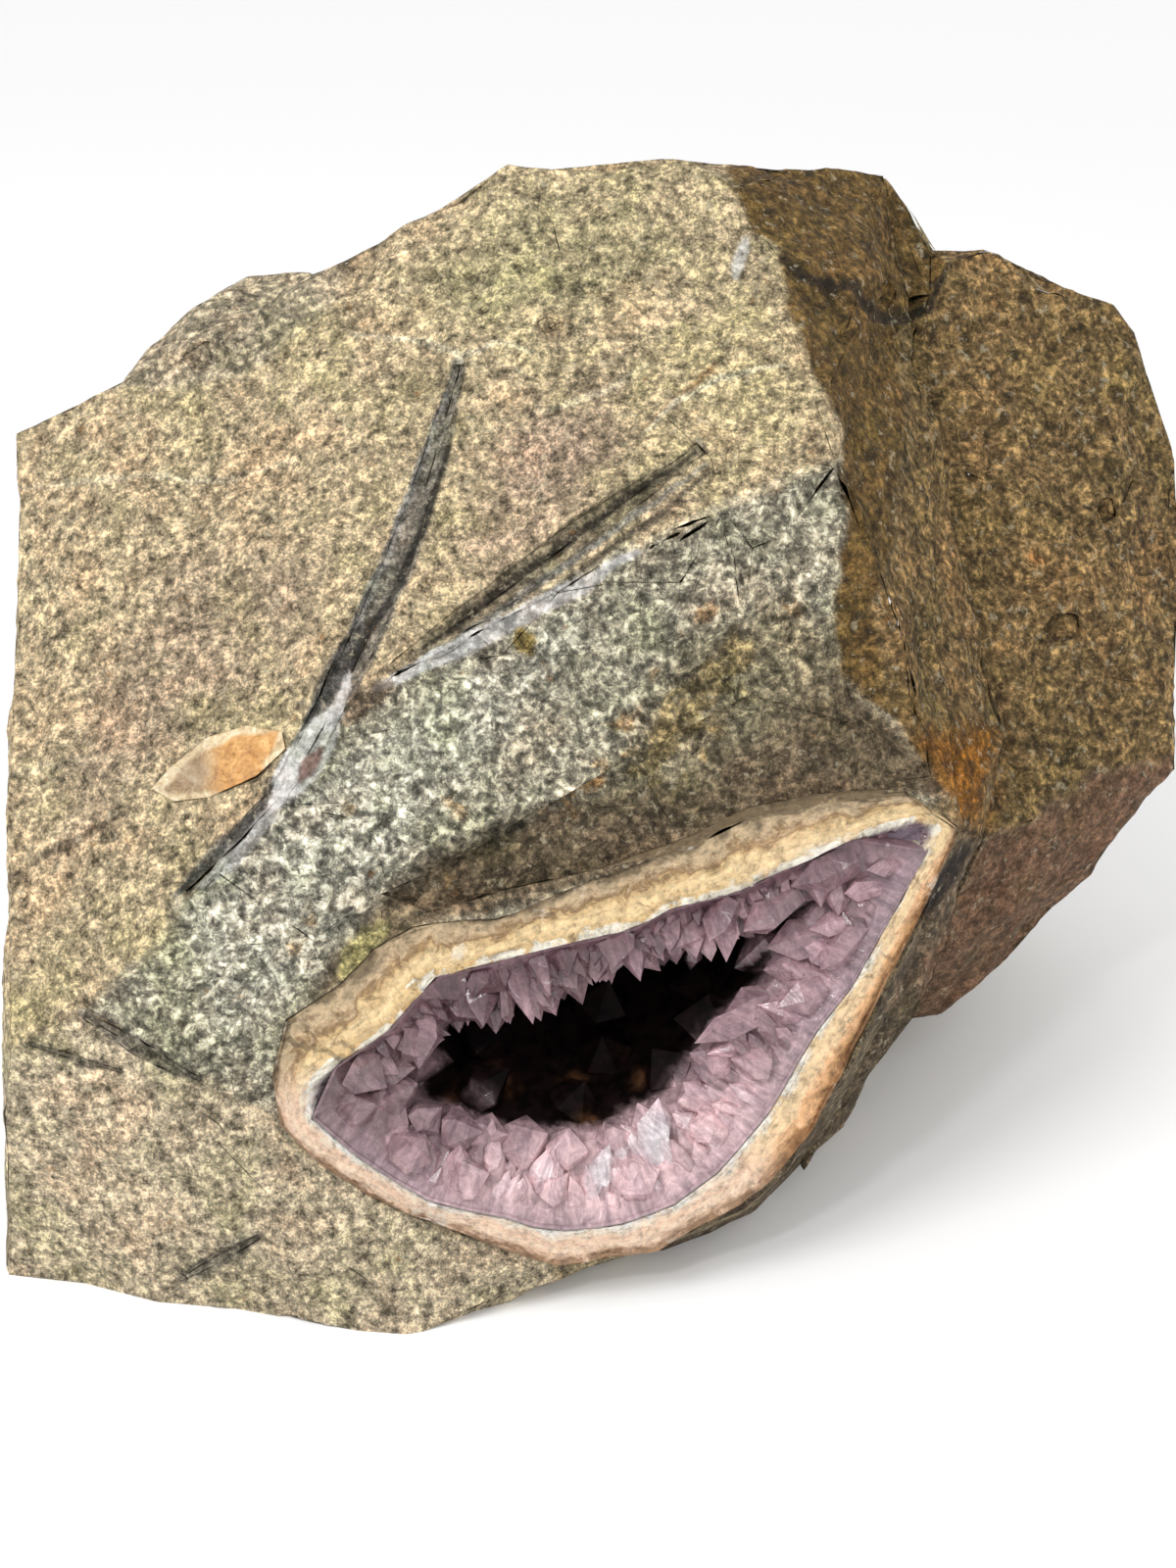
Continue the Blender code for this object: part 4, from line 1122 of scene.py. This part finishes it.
def make_lights(scene):
    """White light from all around, and the lamps."""
    world = bpy.data.worlds.new("studio")
    world.use_nodes = True
    world.node_tree.nodes["Background"].inputs["Color"].default_value = (1.0, 1.0, 1.0, 1.0)
    world.node_tree.nodes["Background"].inputs["Strength"].default_value = 1.0
    scene.world = world
    for name, place, size, power in LAMPS:
        light = bpy.data.lights.new(name, "AREA")
        light.energy = power
        light.size = size
        lamp = bpy.data.objects.new(name, light)
        lamp.location = place
        lamp.rotation_euler = (Vector(LAMP_AIM) - Vector(place)).to_track_quat("-Z", "Y").to_euler()
        scene.collection.objects.link(lamp)


def make_camera(scene):
    """The camera, at the eye that the sight grid belongs to."""
    camera = bpy.data.cameras.new("camera")
    camera.lens = CAMERA_LENS
    camera.sensor_width = FILM_WIDTH
    camera.clip_start = 0.01
    camera_object = bpy.data.objects.new("camera", camera)
    camera_object.location = Vector(EYE)
    camera_object.rotation_euler = (math.pi / 2.0 - SIGHT_TILT, 0.0, 0.0)
    scene.collection.objects.link(camera_object)
    scene.camera = camera_object


class GEODE_OT_stage(bpy.types.Operator):
    """Set the floor, the soft light and the camera"""

    bl_idname = "geode.stage"
    bl_label = "Stage"

    def execute(self, context):
        make_floor()
        make_lights(context.scene)
        make_camera(context.scene)
        context.scene.view_settings.view_transform = "Standard"
        return {"FINISHED"}


class GEODE_PT_panel(bpy.types.Panel):
    """Buttons and sizes of the geode"""

    bl_label = "Amethyst with calcite"
    bl_idname = "GEODE_PT_panel"
    bl_space_type = "VIEW_3D"
    bl_region_type = "UI"
    bl_category = "Geode"

    def draw(self, context):
        column = self.layout.column()
        for name in GeodeSettings.__annotations__:
            column.prop(context.scene.geode, name)
        for operator in OPERATORS:
            column.operator(operator.bl_idname)


OPERATORS = (GEODE_OT_rock, GEODE_OT_rind, GEODE_OT_crust, GEODE_OT_lens, GEODE_OT_stage)
CLASSES = (GeodeSettings,) + OPERATORS + (GEODE_PT_panel,)


def register():
    for cls in CLASSES:
        bpy.utils.register_class(cls)
    bpy.types.Scene.geode = PointerProperty(type=GeodeSettings)


def unregister():
    del bpy.types.Scene.geode
    for cls in reversed(CLASSES):
        bpy.utils.unregister_class(cls)


def main():
    register()
    bpy.ops.geode.rock()
    bpy.ops.geode.rind()
    bpy.ops.geode.crust()
    bpy.ops.geode.lens()
    bpy.ops.geode.stage()


if __name__ == "__main__":
    main()
